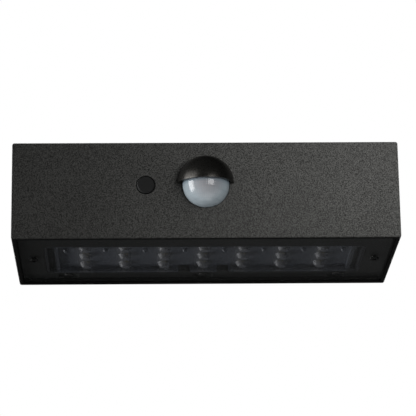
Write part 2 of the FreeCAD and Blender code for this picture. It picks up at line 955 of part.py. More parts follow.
def cover_seal():
    """A rubber frame between the tray and the housing's ledge."""
    gap = d.cover_gap
    reach = gap + d.seal_width
    outer = block(
        "SealOuter", -inner_half + gap, inner_half - gap,
        front_inside + gap, rebate_back - gap, tray_high, ledge_low,
    )
    inner = block(
        "SealInner", -inner_half + reach, inner_half - reach,
        front_inside + reach, rebate_back - reach, tray_high, ledge_low,
    )
    return keep(cut("Seal", outer, [inner]), "cover_seal")


def small_screws(name, spots, z, length):
    """Screws that are driven upwards from below, heads down."""
    pieces = [
        screw(
            f"{name}{i}", x, y, z, UP,
            d.small_screw_radius, length, d.small_head_radius, d.small_head_thick,
        )
        for i, (x, y) in enumerate(spots)
    ]
    return group(name + "Set", pieces)


def under_screws():
    cover_seat = cover_low + d.small_head_thick + d.screw_room
    cover_spots = [(side * cover_screw_x, cover_screw_y) for side in (-1, 1)]
    length = ledge_low + d.under_boss_high - d.tip_room - cover_seat
    keep(small_screws("CoverScrew", cover_spots, cover_seat, length), "cover_screws")
    tray_seat = tray_low + d.tray_sink_deep
    tray_spots = [(x, tray_screw_y) for x in tray_screw_xs]
    length = ledge_low + d.under_boss_high - d.tip_room - tray_seat
    keep(small_screws("TrayScrew", tray_spots, tray_seat, length), "tray_screws")


def led_tray():
    """The black panel behind the cover, with the light window and its screw dishes."""
    gap = d.cover_gap
    tray = body("LedTray")
    plate = rectangles(
        tray, "TrayPlate", "XY_Plane", tray_low,
        [(-inner_half + gap, front_inside + gap, inner_half - gap, rebate_back - gap)],
    )
    pad(tray, plate, d.tray_thick)
    window = rectangles(
        tray, "TrayWindow", "XY_Plane", tray_low,
        [(-window_side, window_front, window_side, window_back)],
    )
    cut_window = pocket(tray, window, d.tray_thick, along=True)
    side_x = window_side.number

    def window_corner(edge):
        box = edge.BoundBox
        on_side = near(abs(box.XMin), side_x) and near(abs(box.XMax), side_x)
        return along_axis(edge, "z") and on_side

    round_edges(tray, cut_window, "WindowCorners", d.window_corner, window_corner)
    lobes = circles(
        tray, "Lobes", "XY_Plane", tray_low,
        [(side * lobe_side, window_back, d.lobe_radius) for side in (-1, 1)],
    )
    pad(tray, lobes, light_low - tray_low)
    bosses = circles(
        tray, "LightPosts", "XY_Plane", tray_high,
        [(x, y, d.light_boss_radius) for x, y in light_spots],
    )
    pad(tray, bosses, light_low - tray_high)
    pilots = circles(
        tray, "LightPilots", "XY_Plane", light_low,
        [(x, y, d.fine_screw_radius + d.screw_room) for x, y in light_spots],
    )
    pocket(tray, pilots, light_low - tray_high)
    holes = [
        (x, tray_screw_y, d.small_screw_radius + d.hole_room) for x in tray_screw_xs
    ] + [
        (side * cover_screw_x, cover_screw_y, d.small_screw_radius + d.hole_room)
        for side in (-1, 1)
    ]
    pocket(tray, circles(tray, "TrayHoles", "XY_Plane", tray_low, holes), d.tray_thick, along=True)
    dishes = circles(
        tray, "TrayDishes", "XY_Plane", tray_low,
        [(x, tray_screw_y, d.tray_sink_radius) for x in tray_screw_xs],
    )
    sunk = pocket(tray, dishes, d.tray_sink_deep, along=True)
    slopes = round_edges(
        tray, sunk, "DishSlopes", d.tray_sink_slope_high, ring_at(tray_low, d.tray_sink_radius),
        kind="Chamfer",
    )
    slopes.ChamferType = "Two distances"
    bind(slopes, "Size2", d.tray_sink_slope)
    return keep(tray, "led_tray")


def lens_array():
    """A clear moulding in the tray's window: rim, floor and rows of lens caps."""
    lens = body("LensArray")
    fit = d.lens_fit
    side = window_side - fit
    near_y = window_front + fit
    far_y = window_back - fit
    wall = rectangles(lens, "LensWall", "XY_Plane", lens_low, [(-side, near_y, side, far_y)])
    outer = pad(lens, wall, light_low - lens_low)
    round_edges(
        lens, outer, "LensCorners", d.window_corner - fit, lambda edge: along_axis(edge, "z")
    )
    lip = rectangles(
        lens, "LensLip", "XY_Plane", tray_high,
        [(-side - d.lens_lip, near_y - d.lens_lip, side + d.lens_lip, far_y + d.lens_lip)],
    )
    pad(lens, lip, d.lens_lip_thick)
    skin = d.lens_skin
    hollow = rectangles(
        lens, "LensHollow", "XY_Plane", lens_low,
        [(-side + skin, near_y + skin, side - skin, far_y - skin)],
    )
    pocket(lens, hollow, lens_floor_low - lens_low, along=True)
    notches = circles(
        lens, "LobeNotches", "XY_Plane", lens_low,
        [(s * lobe_side, window_back, d.lobe_radius + d.cover_gap) for s in (-1, 1)],
    )
    pocket(lens, notches, light_low - lens_low, along=True)
    lens_caps(lens, near_y, far_y)
    return keep(lens, "lens_array")


def repeat(owner, sketch, feature, name, step_x, count_x, step_y, count_y):
    """A grid of one feature along the sketch's two axes."""
    rows = []
    for label, axis, step, count in (
        ("X", "H_Axis", step_x, count_x), ("Y", "V_Axis", step_y, count_y)
    ):
        if count > 1:
            line = owner.newObject("PartDesign::LinearPattern", name + label)
            line.Direction = (sketch, [axis])
            bind(line, "Length", step * (count - 1))
            line.Occurrences = count
            rows.append(line)
    if len(rows) == 1:
        rows[0].Originals = [feature]
        owner.Tip = rows[0]
        return rows[0]
    grid = owner.newObject("PartDesign::MultiTransform", name)
    grid.Originals = [feature]
    grid.Transformations = rows
    owner.Tip = grid
    return grid


def taper_ends(lens, name, high, radius, inward, along):
    """Turn the free ends of the round posts on the lens floor into cones."""
    rim = ring_at(lens_floor_low - high, radius)
    cones = round_edges(lens, lens.Tip, name, along, rim, kind="Chamfer")
    cones.ChamferType = "Two distances"
    bind(cones, "Size2", inward)
    return cones


def lens_caps(lens, near_y, far_y):
    """Lens caps that hang over the lights, the pockets behind them and the clip slots."""
    first_x = -cap_step_x * ((CAP_COLUMNS - 1) / 2)
    first_y = window_mid - cap_step_y * ((CAP_ROWS - 1) / 2)
    cap = circles(
        lens, "Cap", "XY_Plane", lens_floor_low, [(first_x, first_y, d.cap_radius)]
    )
    caps = pad(lens, cap, d.cap_high, against=True)
    repeat(lens, cap, caps, "Caps", cap_step_x, CAP_COLUMNS, cap_step_y, CAP_ROWS)
    cone = taper_ends(lens, "CapCones", d.cap_high, d.cap_radius, d.cap_taper, d.cap_taper_high)
    end_radius = d.cap_radius - d.cap_taper
    rim = ring_at(lens_floor_low - d.cap_high, end_radius)
    round_edges(lens, cone, "CapRims", d.cap_rim, rim)
    stud_y = first_y + d.stud_back
    stud_x = first_x - cap_step_x / 2
    stud = circles(lens, "Stud", "XY_Plane", lens_floor_low, [(stud_x, stud_y, d.stud_radius)])
    studs = pad(lens, stud, d.stud_high, against=True)
    repeat(lens, stud, studs, "Studs", cap_step_x, CAP_COLUMNS + 1, cap_step_y, 1)
    taper_ends(lens, "StudCones", d.stud_high, d.stud_radius, d.stud_taper, d.cap_taper_high / 2)
    ribs = rectangles(
        lens, "EndRibs", "XY_Plane", lens_floor_low,
        [
            (
                side * (window_side - d.rib_to_window_side) - d.rib_wide / 2,
                near_y + d.rib_from_edge,
                side * (window_side - d.rib_to_window_side) + d.rib_wide / 2,
                far_y - d.rib_from_edge,
            )
            for side in (-1, 1)
        ],
    )
    pad(lens, ribs, d.rib_high, against=True)
    half_pocket = d.led_pocket / 2
    bay = rectangles(
        lens, "Bay", "XY_Plane", light_low,
        [(first_x - half_pocket, first_y - half_pocket, first_x + half_pocket, first_y + half_pocket)],
    )
    bays = pocket(lens, bay, d.led_pocket_deep)
    repeat(lens, bay, bays, "Bays", cap_step_x, CAP_COLUMNS, cap_step_y, CAP_ROWS)
    slot_x = -cap_step_x * ((CLIP_SLOTS - 1) / 2)
    slot_y = far_y - d.lens_skin - d.clip_slot_wide
    half_slot = d.clip_slot_long / 2
    slot = rectangles(
        lens, "ClipSlot", "XY_Plane", light_low,
        [(slot_x - half_slot, slot_y - d.clip_slot_wide, slot_x + half_slot, slot_y)],
    )
    slots = pocket(lens, slot, d.lens_floor)
    repeat(lens, slot, slots, "ClipSlots", cap_step_x, CLIP_SLOTS, cap_step_y, 1)


def light_board():
    """The lights on their metal-core board, and the screws that hold it to the tray."""
    half_board = window_side + d.light_board_past_window
    plate = block(
        "LightPlate", -half_board, half_board, light_front_y, light_back_y, light_low, light_high
    )
    tools = []
    notch_radius = d.tray_boss_radius + d.light_notch_room
    for i, x in enumerate(tray_screw_xs):
        tools.append(
            rod(f"Notch{i}", notch_radius, d.light_board_thick, x, tray_screw_y, light_low)
        )
        tools.append(
            block(
                f"NotchMouth{i}", x - notch_radius, x + notch_radius,
                tray_screw_y, light_back_y, light_low, light_high,
            )
        )
    hole_radius = d.fine_screw_radius + d.hole_room
    for i, (x, y) in enumerate(light_spots):
        tools.append(rod(f"LightHole{i}", hole_radius, d.light_board_thick, x, y, light_low))
    keep(cut("LightBoard", plate, tools), "led_board")

    half_led = d.led_size / 2
    lights = []
    for column in range(CAP_COLUMNS):
        for line in range(CAP_ROWS):
            x = cap_step_x * (column - (CAP_COLUMNS - 1) / 2)
            y = window_mid + cap_step_y * (line - (CAP_ROWS - 1) / 2)
            lights.append(
                block(
                    f"Light{column}{line}", x - half_led, x + half_led,
                    y - half_led, y + half_led, light_low - d.led_thick, light_low,
                )
            )
    keep(group("Lights", lights), "leds")

    length = d.light_board_thick + light_low - tray_high - d.tip_room
    pieces = [
        screw(
            f"LightScrew{i}", x, y, light_high, DOWN,
            d.fine_screw_radius, length, d.fine_head_radius, d.fine_head_thick,
        )
        for i, (x, y) in enumerate(light_spots)
    ]
    keep(group("LightScrews", pieces), "led_board_screws")


# ------------------------------------------------------------------ motion sensor
def pir_hood():
    """A quarter of a hollow ball over the sensor lens; its rim droops towards the front."""
    outer = half_ball("HoodOuter", d.hood_radius, 0, front, hood_mid, TO_FRONT)
    inner = half_ball("HoodInner", d.hood_radius - d.hood_skin, 0, front, hood_mid, TO_FRONT)
    below = doc.addObject("Part::Box", "HoodBelow")
    bind(below, "Length", d.hood_radius * 4)
    bind(below, "Width", d.hood_radius * 2)
    bind(below, "Height", d.hood_radius * 2)
    droop = math.degrees(math.asin(SIZES["hood_droop"] / SIZES["hood_radius"]))
    turn = FreeCAD.Rotation(FreeCAD.Vector(1, 0, 0), 180 + droop)
    place(below, -d.hood_radius * 2, front, hood_mid, turn)
    shade = cut("HoodShell", outer, [inner, below])
    pegs = [
        rod(
            f"HoodPeg{i}", d.peg_radius, d.peg_length + d.peg_root,
            side * peg_x, front - d.peg_root, peg_z, TO_WALL,
        )
        for i, side in enumerate((-1, 1))
    ]
    return keep(join("Hood", [shade] + pegs), "pir_hood")


def pir_lens():
    """The milky dome with its flange, a thin shell."""
    throat = flange_back - front
    outer = join(
        "DomeOuter",
        [
            half_ball("DomeBall", d.dome_lens_radius, 0, front, d.sensor_up, TO_FRONT),
            rod("DomeNeck", d.dome_lens_radius, throat, 0, front, d.sensor_up, TO_WALL),
            rod(
                "DomeFlange", flange_radius, d.dome_flange_thick,
                0, gasket_back, d.sensor_up, TO_WALL,
            ),
        ],
    )
    inner_radius = d.dome_lens_radius - d.dome_lens_skin
    inner = [
        half_ball("DomeHollow", inner_radius, 0, front, d.sensor_up, TO_FRONT),
        rod("DomeBore", inner_radius, throat, 0, front, d.sensor_up, TO_WALL),
    ]
    return keep(cut("Dome", outer, inner), "pir_lens")


def ring(name, outer, inner, length, x, y, z, turn):
    return cut(
        name,
        rod(name + "Out", outer, length, x, y, z, turn),
        [rod(name + "In", inner, length, x, y, z, turn)],
    )


def sensor_holding():
    """The lens's gasket, and the retainer that two screws press onto its flange."""
    keep(
        ring(
            "LensGasket", flange_radius, dome_hole, d.dome_gasket_thick,
            0, front_inside, d.sensor_up, TO_WALL,
        ),
        "pir_gasket",
    )
    far = flange_back + d.retainer_thick
    ear_end = d.retainer_screw_side + d.retainer_ear
    whole = join(
        "RetainerWhole",
        [
            rod("RetainerDisc", flange_radius, d.retainer_thick, 0, flange_back, d.sensor_up, TO_WALL),
            block(
                "RetainerEars", -ear_end, ear_end, flange_back, far,
                d.sensor_up - d.retainer_ear, d.sensor_up + d.retainer_ear,
            ),
        ],
    )
    bore = rod(
        "RetainerBore", d.retainer_bore, d.retainer_thick, 0, flange_back, d.sensor_up, TO_WALL
    )
    tools = [bore]
    hole = d.fine_screw_radius + d.hole_room
    for i, side in enumerate((-1, 1)):
        x = side * d.retainer_screw_side
        tools.append(
            rod(f"RetainerHole{i}", hole, d.retainer_thick, x, flange_back, d.sensor_up, TO_WALL)
        )
    keep(cut("Retainer", whole, tools), "pir_retainer")
    length = d.retainer_thick + d.dome_gasket_thick + d.dome_flange_thick - d.cover_air
    pieces = [
        screw(
            f"RetainerScrew{i}", side * d.retainer_screw_side, far, d.sensor_up, TO_FRONT,
            d.fine_screw_radius, length, d.fine_head_radius, d.fine_head_thick,
        )
        for i, side in enumerate((-1, 1))
    ]
    keep(group("RetainerScrews", pieces), "retainer_screws")


def sensor():
    """The metal-can sensor on its plastic spacer, in front of the main board."""
    can_front = front_inside + d.cover_gap
    can_back = can_front + d.can_high
    can = join(
        "SensorCan",
        [
            rod("CanBody", d.can_radius, d.can_high, 0, can_front, d.sensor_up, TO_WALL),
            rod(
                "CanRim", d.can_radius + d.can_rim, d.can_rim_thick,
                0, can_back - d.can_rim_thick, d.sensor_up, TO_WALL,
            ),
        ],
    )
    half = d.can_window
    window = block(
        "CanWindow", -half, half, can_front, can_front + d.can_rim,
        d.sensor_up - half, d.sensor_up + half,
    )
    keep(cut("Sensor", can, [window]), "pir_sensor")
    spacer = rod(
        "Spacer", d.can_radius, board_front - can_back, 0, can_back, d.sensor_up, TO_WALL
    )
    keep(spacer, "sensor_spacer")


# ------------------------------------------------------------------ mode button
flange_front = front_inside + d.button_rest_gap
button_stem_start = flange_front + d.button_flange_thick
switch_front = board_front - d.switch_high
plunger_start = switch_front + d.plunger_seated - d.plunger_length


def button():
    """The cap that shows in the front, and the soft ring that seals it."""
    face = front - d.button_proud
    x = -d.button_left
    z = d.sensor_up
    cap = join(
        "ButtonWhole",
        [
            taper(
                "ButtonBevel", d.button_radius - d.button_bevel, d.button_radius,
                d.button_bevel, x, face, z, TO_WALL,
            ),
            rod(
                "ButtonHead", d.button_radius, flange_front - face - d.button_bevel,
                x, face + d.button_bevel, z, TO_WALL,
            ),
            rod(
                "ButtonFlange", button_flange_radius, d.button_flange_thick,
                x, flange_front, z, TO_WALL,
            ),
            rod(
                "ButtonStem", d.plunger_radius, plunger_start - button_stem_start,
                x, button_stem_start, z, TO_WALL,
            ),
        ],
    )
    keep(cap, "button_cap")
    keep(
        ring(
            "ButtonSeal", seal_outer, seal_inner, d.button_seal_thick, x, front_inside, z, TO_WALL
        ),
        "button_seal",
    )


def switch():
    """The tact switch on the board, with the plunger that the button pushes."""
    x = -d.button_left
    z = d.sensor_up
    half = d.switch_size / 2
    plunger_end = switch_front + d.plunger_seated
    well = d.plunger_seated + d.button_travel + d.well_room
    case = block("SwitchCase", x - half, x + half, switch_front, board_front, z - half, z + half)
    well_hole = rod(
        "SwitchWell", d.plunger_radius + d.plunger_room, well, x, switch_front, z, TO_WALL
    )
    keep(cut("Switch", case, [well_hole]), "switch_body")
    plunger = rod(
        "Plunger", d.plunger_radius, plunger_end - plunger_start, x, plunger_start, z, TO_WALL
    )
    keep(plunger, "switch_plunger")


# ------------------------------------------------------------------ main board
def main_board():
    """The board behind the front wall, its screws, chips, sockets and plugs."""
    plate = block(
        "BoardPlate", -board_half, board_half, board_front, board_back, board_low, board_high
    )
    hole_radius = d.fine_screw_radius + d.hole_room
    tools = [
        rod(f"BoardHole{i}", hole_radius, d.board_thick, x, board_front, z, TO_WALL)
        for i, (x, z) in enumerate(board_spots)
    ]
    keep(cut("MainBoard", plate, tools), "main_board")
    screws = [
        screw(
            f"BoardScrew{i}", x, board_back, z, TO_FRONT,
            d.fine_screw_radius, d.board_stand - d.board_thick,
            d.fine_head_radius, d.fine_head_thick,
        )
        for i, (x, z) in enumerate(board_spots)
    ]
    keep(group("BoardScrews", screws), "main_board_screws")

    half_wide = d.chip_wide / 2
    half_tall = d.chip_tall / 2
    chip = block(
        "ControlChip", -half_wide, half_wide, board_back, board_back + d.chip_thick,
        d.sensor_up - half_tall, d.sensor_up + half_tall,
    )
    coil = rod(
        "Coil", d.coil_radius, d.coil_high,
        -(d.chip_wide + d.coil_radius), board_back, d.sensor_up, TO_WALL,
    )
    capacitor = rod(
        "Capacitor", d.can_cap_radius, d.can_cap_high,
        -(d.chip_wide + d.coil_radius * 3 + d.can_cap_radius), board_back, d.sensor_up, TO_WALL,
    )
    keep(group("Chips", [chip, coil, capacitor]), "board_chips")

    sockets = []
    plugs = []
    socket_back = board_back + d.socket_deep
    for i in range(3):
        z = d.sensor_up + d.socket_step * (i - 1)
        x1 = d.socket_right
        x2 = d.socket_right + d.socket_wide
        half = d.socket_tall / 2
        sockets.append(block(f"Socket{i}", x1, x2, board_back, socket_back, z - half, z + half))
        plugs.append(
            block(
                f"Plug{i}", x1 + d.plug_side, x2 - d.plug_side, socket_back,
                socket_back + d.plug_deep, z - half, z + half,
            )
        )
    keep(group("Sockets", sockets), "board_sockets")
    keep(group("Plugs", plugs), "lead_plugs")


# ------------------------------------------------------------------ battery
holder_back = -(d.back_thick + d.holder_boss_high)
holder_deck = holder_back - d.holder_floor
cell_y = holder_deck - d.cell_room - d.cell_radius
holder_half = d.cell_length / 2 + d.contact_room + d.contact_thick + d.holder_end


def battery():
    """The cell in its open holder, with two contacts and two screws."""
    half_cell = d.cell_length / 2
    tip_start = half_cell - d.cell_tip_high
    cell = join(
        "CellWhole",
        [
            rod(
                "CellCan", d.cell_radius, d.cell_length - d.cell_tip_high,
                -half_cell, cell_y, d.cell_up, TO_RIGHT,
            ),
            rod("CellTip", d.cell_tip_radius, d.cell_tip_high, tip_start, cell_y, d.cell_up, TO_RIGHT),
        ],
    )
    keep(cell, "battery_cell")

    half_tall = d.cell_radius + d.cell_side_room + d.holder_side
    floor = block(
        "HolderFloor", -holder_half, holder_half, holder_deck, holder_back,
        d.cell_up - half_tall, d.cell_up + half_tall,
    )
    parts = [floor]
    end_front = holder_deck - d.holder_end_high
    for i, side in enumerate((-1, 1)):
        a = side * holder_half
        b = side * (holder_half - d.holder_end)
        low_x, high_x = (a, b) if side < 0 else (b, a)
        parts.append(
            block(
                f"HolderEnd{i}", low_x, high_x, end_front, holder_deck,
                d.cell_up - half_tall, d.cell_up + half_tall,
            )
        )
        e = d.cell_up + side * half_tall
        f = d.cell_up + side * (half_tall - d.holder_side)
        low_z, high_z = (e, f) if side < 0 else (f, e)
        parts.append(
            block(
                f"HolderSide{i}", -holder_half, holder_half,
                holder_deck - d.holder_side_high, holder_deck, low_z, high_z,
            )
        )
    tools = []
    sink_deep = d.small_head_thick + d.screw_room
    for i, side in enumerate((-1, 1)):
        x = side * d.holder_screw_side
        hole = d.small_screw_radius + d.hole_room
        tools.append(rod(f"HolderHole{i}", hole, d.holder_floor, x, holder_deck, d.cell_up, TO_WALL))
        sink = d.small_head_radius + d.sink_room
        tools.append(rod(f"HolderSink{i}", sink, sink_deep, x, holder_deck, d.cell_up, TO_WALL))
    keep(cut("Holder", join("HolderWhole", parts), tools), "battery_holder")

    contacts = []
    for i, (side, turn) in enumerate(((-1, TO_RIGHT), (1, TO_LEFT))):
        wall_x = side * (holder_half - d.holder_end)
        leaf_x = side * (holder_half - d.holder_end - d.contact_thick)
        low_x, high_x = (wall_x, leaf_x) if side < 0 else (leaf_x, wall_x)
        half_leaf = d.contact_size / 2
        leaf = block(
            f"Leaf{i}", low_x, high_x, cell_y - half_leaf, cell_y + half_leaf,
            d.cell_up - half_leaf, d.cell_up + half_leaf,
        )
        bump = taper(
            f"Bump{i}", d.contact_bump_base, d.contact_bump, d.contact_room,
            leaf_x, cell_y, d.cell_up, turn,
        )
        contacts.append(join(f"Contact{i}", [leaf, bump]))
    keep(group("Contacts", contacts), "battery_contacts")

    seat = holder_deck + sink_deep
    length = d.holder_floor - sink_deep + d.holder_boss_high - d.cover_air
    pieces = [
        screw(
            f"HolderScrew{i}", side * d.holder_screw_side, seat, d.cell_up, TO_WALL,
            d.small_screw_radius, length, d.small_head_radius, d.small_head_thick,
        )
        for i, side in enumerate((-1, 1))
    ]
    keep(group("HolderScrews", pieces), "holder_screws")


# ------------------------------------------------------------------ leads
def beside(anchor, x, y, z):
    """A point of a lead's route, counted from one of its ends."""
    return (anchor[0] + x, anchor[1] + y, anchor[2] + z)


def plug_mouth(line):
    """Where a lead goes into its plug; the plugs count from the lowest up."""
    return (
        d.socket_right + d.socket_wide / 2,
        board_back + d.socket_deep + d.plug_deep,
        d.sensor_up + d.socket_step * (line - 1),
    )


def solar_route():
    start = (d.wire_hole_right, front / 2, recess_floor + d.bed_thick)
    end = plug_mouth(2)
    return [
        start, beside(start, 0, 0, -12.5), beside(start, -12, -3, -18.5),
        beside(end, 6.2, 16.4, -3.4), beside(end, 0, 10.4, 0), end,
    ]


def battery_route():
    start = (
        holder_half - d.holder_end / 2,
        holder_deck - d.holder_end_high,
        d.cell_up - d.battery_lead_below,
    )
    end = plug_mouth(0)
    return [start, beside(start, 0, -13.8, 0), beside(end, 1.2, 12.4, 1.6), end]


def light_route():
    start = (d.light_lead_right, front + d.light_lead_from_front, light_high)
    end = plug_mouth(1)
    return [
        start, beside(start, 0, 0, 10.6), beside(start, -10, 0, 17.6),
        beside(end, 1.7, 10.9, 0), end,
    ]


def rounded_path(points):
    """Straight runs joined by tangent arcs, as large as the shorter run beside each allows."""
    spots = [FreeCAD.Vector(*[Size.of(value).number for value in point]) for point in points]
    edges = []
    radii = []
    start = spots[0]
    for before, corner, after in zip(spots, spots[1:], spots[2:]):
        back = (before - corner).normalize()
        ahead = (after - corner).normalize()
        half_turn = (math.pi - back.getAngle(ahead)) / 2
        trim = 0.45 * min((before - corner).Length, (after - corner).Length)
        radius = trim / math.tan(half_turn)
        into = corner + back * trim
        out = corner + ahead * trim
        bisector = (back + ahead).normalize()
        centre = corner + bisector * (radius / math.cos(half_turn))
        middle = centre - bisector * radius
        edges.append(Part.LineSegment(start, into).toShape())
        edges.append(Part.Arc(into, middle, out).toShape())
        radii.append(radius)
        start = out
    edges.append(Part.LineSegment(start, spots[-1]).toShape())
    return Part.Wire(edges), radii


def lead(node, points):
    """One jacketed two-core lead along its real route inside the case."""
    path, radii = rounded_path(points)
    radius = d.lead_radius.number
    begin = path.Edges[0]
    circle = Part.makeCircle(radius, begin.Vertexes[0].Point, begin.tangentAt(0))
    section = Part.Wire(circle)
    tube = path.makePipeShell([section], True, False)
    expected = math.pi * radius**2 * path.Length
    print(
        f"{node}: length {path.Length:.1f} mm, least bend {min(radii):.1f} mm, "
        f"volume {tube.Volume / expected:.4f} of its section times its length"
    )
    feature = doc.addObject("Part::Feature", node.title().replace("_", ""))
    feature.Shape = tube
    return keep(feature, node)


# ------------------------------------------------------------------ build, test and write
housing()
back_plate()
back_gasket()
back_screws()
solar_panel()
led_cover()
cover_seal()
under_screws()
led_tray()
lens_array()
light_board()
pir_hood()
pir_lens()
sensor_holding()
sensor()
button()
switch()
main_board()
battery()
lead("solar_lead", solar_route())
lead("battery_lead", battery_route())
lead("led_lead", light_route())
doc.recompute()

for thing in doc.Objects:
    if "Invalid" in thing.State or "Error" in thing.State:
        raise RuntimeError(f"{thing.Name} did not build: {thing.State}")

os.makedirs("parts", exist_ok=True)
for thing in subparts:
    shape = thing.Shape
    if shape.isNull() or not shape.isValid():
        raise RuntimeError(f"{thing.Label} has no valid shape")
    shape.exportStep(f"parts/{thing.Label}.step")
    print(f"{thing.Label}: {len(shape.Solids)} solids, {shape.Volume:.1f} mm3")
print(f"{len(subparts)} nodes")
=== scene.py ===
"""Looks of a solar fence light: camera, studio and the finish of every piece. Metres.

The frame is the model's own: the wall is the plane y = 0, the lamp reaches out to -Y and
+Z is up. Texture coordinates are object coordinates, which are the frame's own metres.
"""
import math

import bmesh
import bpy
from mathutils import Matrix, Vector


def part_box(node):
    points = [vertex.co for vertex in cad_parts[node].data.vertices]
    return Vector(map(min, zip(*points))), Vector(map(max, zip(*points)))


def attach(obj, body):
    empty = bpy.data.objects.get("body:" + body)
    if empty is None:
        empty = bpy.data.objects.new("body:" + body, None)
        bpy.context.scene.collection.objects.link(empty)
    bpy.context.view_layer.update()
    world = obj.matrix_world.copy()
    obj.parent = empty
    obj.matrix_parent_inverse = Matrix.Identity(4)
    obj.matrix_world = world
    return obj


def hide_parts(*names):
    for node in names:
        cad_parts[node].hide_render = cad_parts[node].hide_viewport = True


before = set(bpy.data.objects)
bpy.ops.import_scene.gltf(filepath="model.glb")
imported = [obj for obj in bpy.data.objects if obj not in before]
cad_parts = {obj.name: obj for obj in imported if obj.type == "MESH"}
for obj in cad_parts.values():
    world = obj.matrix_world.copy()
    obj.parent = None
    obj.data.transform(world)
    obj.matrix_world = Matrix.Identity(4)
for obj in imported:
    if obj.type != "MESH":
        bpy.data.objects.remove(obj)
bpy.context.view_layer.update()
MM = 0.001


# ------------------------------------------------------------------ objects
def add_object(name, data):
    """An object in the scene with a mesh, a lamp or a camera."""
    made = bpy.data.objects.new(name, data)
    bpy.context.scene.collection.objects.link(made)
    return made


def mesh_of(form, name):
    """The mesh of a form that is done with."""
    mesh = bpy.data.meshes.new(name)
    form.to_mesh(mesh)
    form.free()
    return mesh


# ------------------------------------------------------------------ camera
LENS_MM = 190.4
SENSOR_MM = 36.0
CAMERA_AT = Vector((-0.0346, -1.1607, -0.3578))
CAMERA_UP_TILT = math.radians(17.93)
CAMERA_YAW = math.radians(1.89)
CAMERA_ROLL = math.radians(-0.85)
CLIP_NEAR = 0.05
CLIP_FAR = 50


def add_camera():
    """The camera looks up at the lamp from below its front."""
    ahead = Vector((
        math.sin(CAMERA_YAW) * math.cos(CAMERA_UP_TILT),
        math.cos(CAMERA_YAW) * math.cos(CAMERA_UP_TILT),
        math.sin(CAMERA_UP_TILT),
    ))
    level = Vector((math.cos(CAMERA_YAW), -math.sin(CAMERA_YAW), 0))
    upright = level.cross(ahead)
    right = math.cos(CAMERA_ROLL) * level + math.sin(CAMERA_ROLL) * upright
    up = right.cross(ahead)
    data = bpy.data.cameras.new("camera")
    data.lens = LENS_MM
    data.sensor_width = SENSOR_MM
    data.clip_start = CLIP_NEAR
    data.clip_end = CLIP_FAR
    camera = add_object("camera", data)
    turn = Matrix((right, up, -ahead)).transposed()
    camera.matrix_world = Matrix.Translation(CAMERA_AT) @ turn.to_4x4()
    bpy.context.scene.camera = camera


# ------------------------------------------------------------------ shaders
MIX_FIRST = 6
MIX_SECOND = 7
MIX_COLOUR = 2
# Noise lies between 0 and 1 but seldom leaves these bounds.
NOISE_LOW = 0.3
NOISE_HIGH = 0.7


class Look:
    """One procedural material on the standard surface shader."""

    def __init__(self, name, **constants):
        """Constants are the shader's own inputs, with _ for each space of their names."""
        self.material = bpy.data.materials.new(name)
        self.material.use_nodes = True
        self.tree = self.material.node_tree
        self.surface = self.tree.nodes["Principled BSDF"]
        for words, value in constants.items():
            self.surface.inputs[words.replace("_", " ")].default_value = value
        self.place = self.add("ShaderNodeTexCoord", output="Object")

    def add(self, kind, inputs=None, output=0, **properties):
        """A node with its properties and inputs set; gives one of its outputs."""
        made = self.tree.nodes.new(kind)
        for key, value in properties.items():
            setattr(made, key, value)
        for key, value in (inputs or {}).items():
            self.feed(made.inputs[key], value)
        return made.outputs[output]

    def feed(self, socket, value):
        """Link a node's output to a socket, or set the socket to a constant."""
        if isinstance(value, bpy.types.NodeSocket):
            self.tree.links.new(value, socket)
        else:
            socket.default_value = value

    def set(self, name, value):
        """Feed one input of the surface."""
        self.feed(self.surface.inputs[name], value)

    def math(self, operation, a, b=0.0):
        """One step of arithmetic on numbers or outputs."""
        return self.add("ShaderNodeMath", {0: a, 1: b}, operation=operation)

    def absolute(self, value):
        return self.math("ABSOLUTE", value)

    def times(self, a, b):
        return self.math("MULTIPLY", a, b)

    def axes(self, place):
        """The x, y and z of a place."""
        split = self.tree.nodes.new("ShaderNodeSeparateXYZ")
        self.feed(split.inputs[0], place)
        return split.outputs

    def stretch(self, scale):
        """The place, scaled along each axis."""
        return self.add("ShaderNodeVectorMath", {0: self.place, 1: scale}, operation="MULTIPLY")

    def noise(self, size, detail=2.0, rough=0.5, place=None):
        """Noise whose features are about one size across, in metres."""
        inputs = {
            "Vector": place or self.place, "Scale": 1 / size,
            "Detail": detail, "Roughness": rough,
        }
        return self.add("ShaderNodeTexNoise", inputs)

    def between(self, value, low, high, to_low=0.0, to_high=1.0):
        """A value rescaled from one range to another, clamped."""
        inputs = {"Value": value, 1: low, 2: high, 3: to_low, 4: to_high}
        return self.add("ShaderNodeMapRange", inputs)

    def blend(self, factor, colour_a, colour_b, how="MIX"):
        """The first colour at factor 0, the second at 1, or another way to join the two."""
        inputs = {0: factor, MIX_FIRST: colour_a, MIX_SECOND: colour_b}
        return self.add(
            "ShaderNodeMix", inputs, output=MIX_COLOUR, data_type="RGBA", blend_type=how
        )

    def roughen(self, noise, low, high):
        """Let the roughness follow a noise between two bounds."""
        self.set("Roughness", self.between(noise, NOISE_LOW, NOISE_HIGH, low, high))

    def bump(self, height, depth, strength=1.0):
        """The normal of a surface whose height varies by a depth in metres."""
        inputs = {"Height": height, "Distance": depth, "Strength": strength}
        return self.add("ShaderNodeBump", inputs)


def grey(value):
    return rgb(value, value, value)


def rgb(red, green, blue):
    return (red, green, blue, 1.0)


def scaled(colour, share):
    """A colour made darker or lighter by a share."""
    red, green, blue = colour[:3]
    return rgb(red * share, green * share, blue * share)


FLECK_LOW = 0.35
FLECK_HIGH = 0.65
DRIFT_SIZE = 60
DRIFT_LOW = 0.94
DRIFT_HIGH = 1.06
SMOOTHER = 0.06
ROUGHER = 0.08


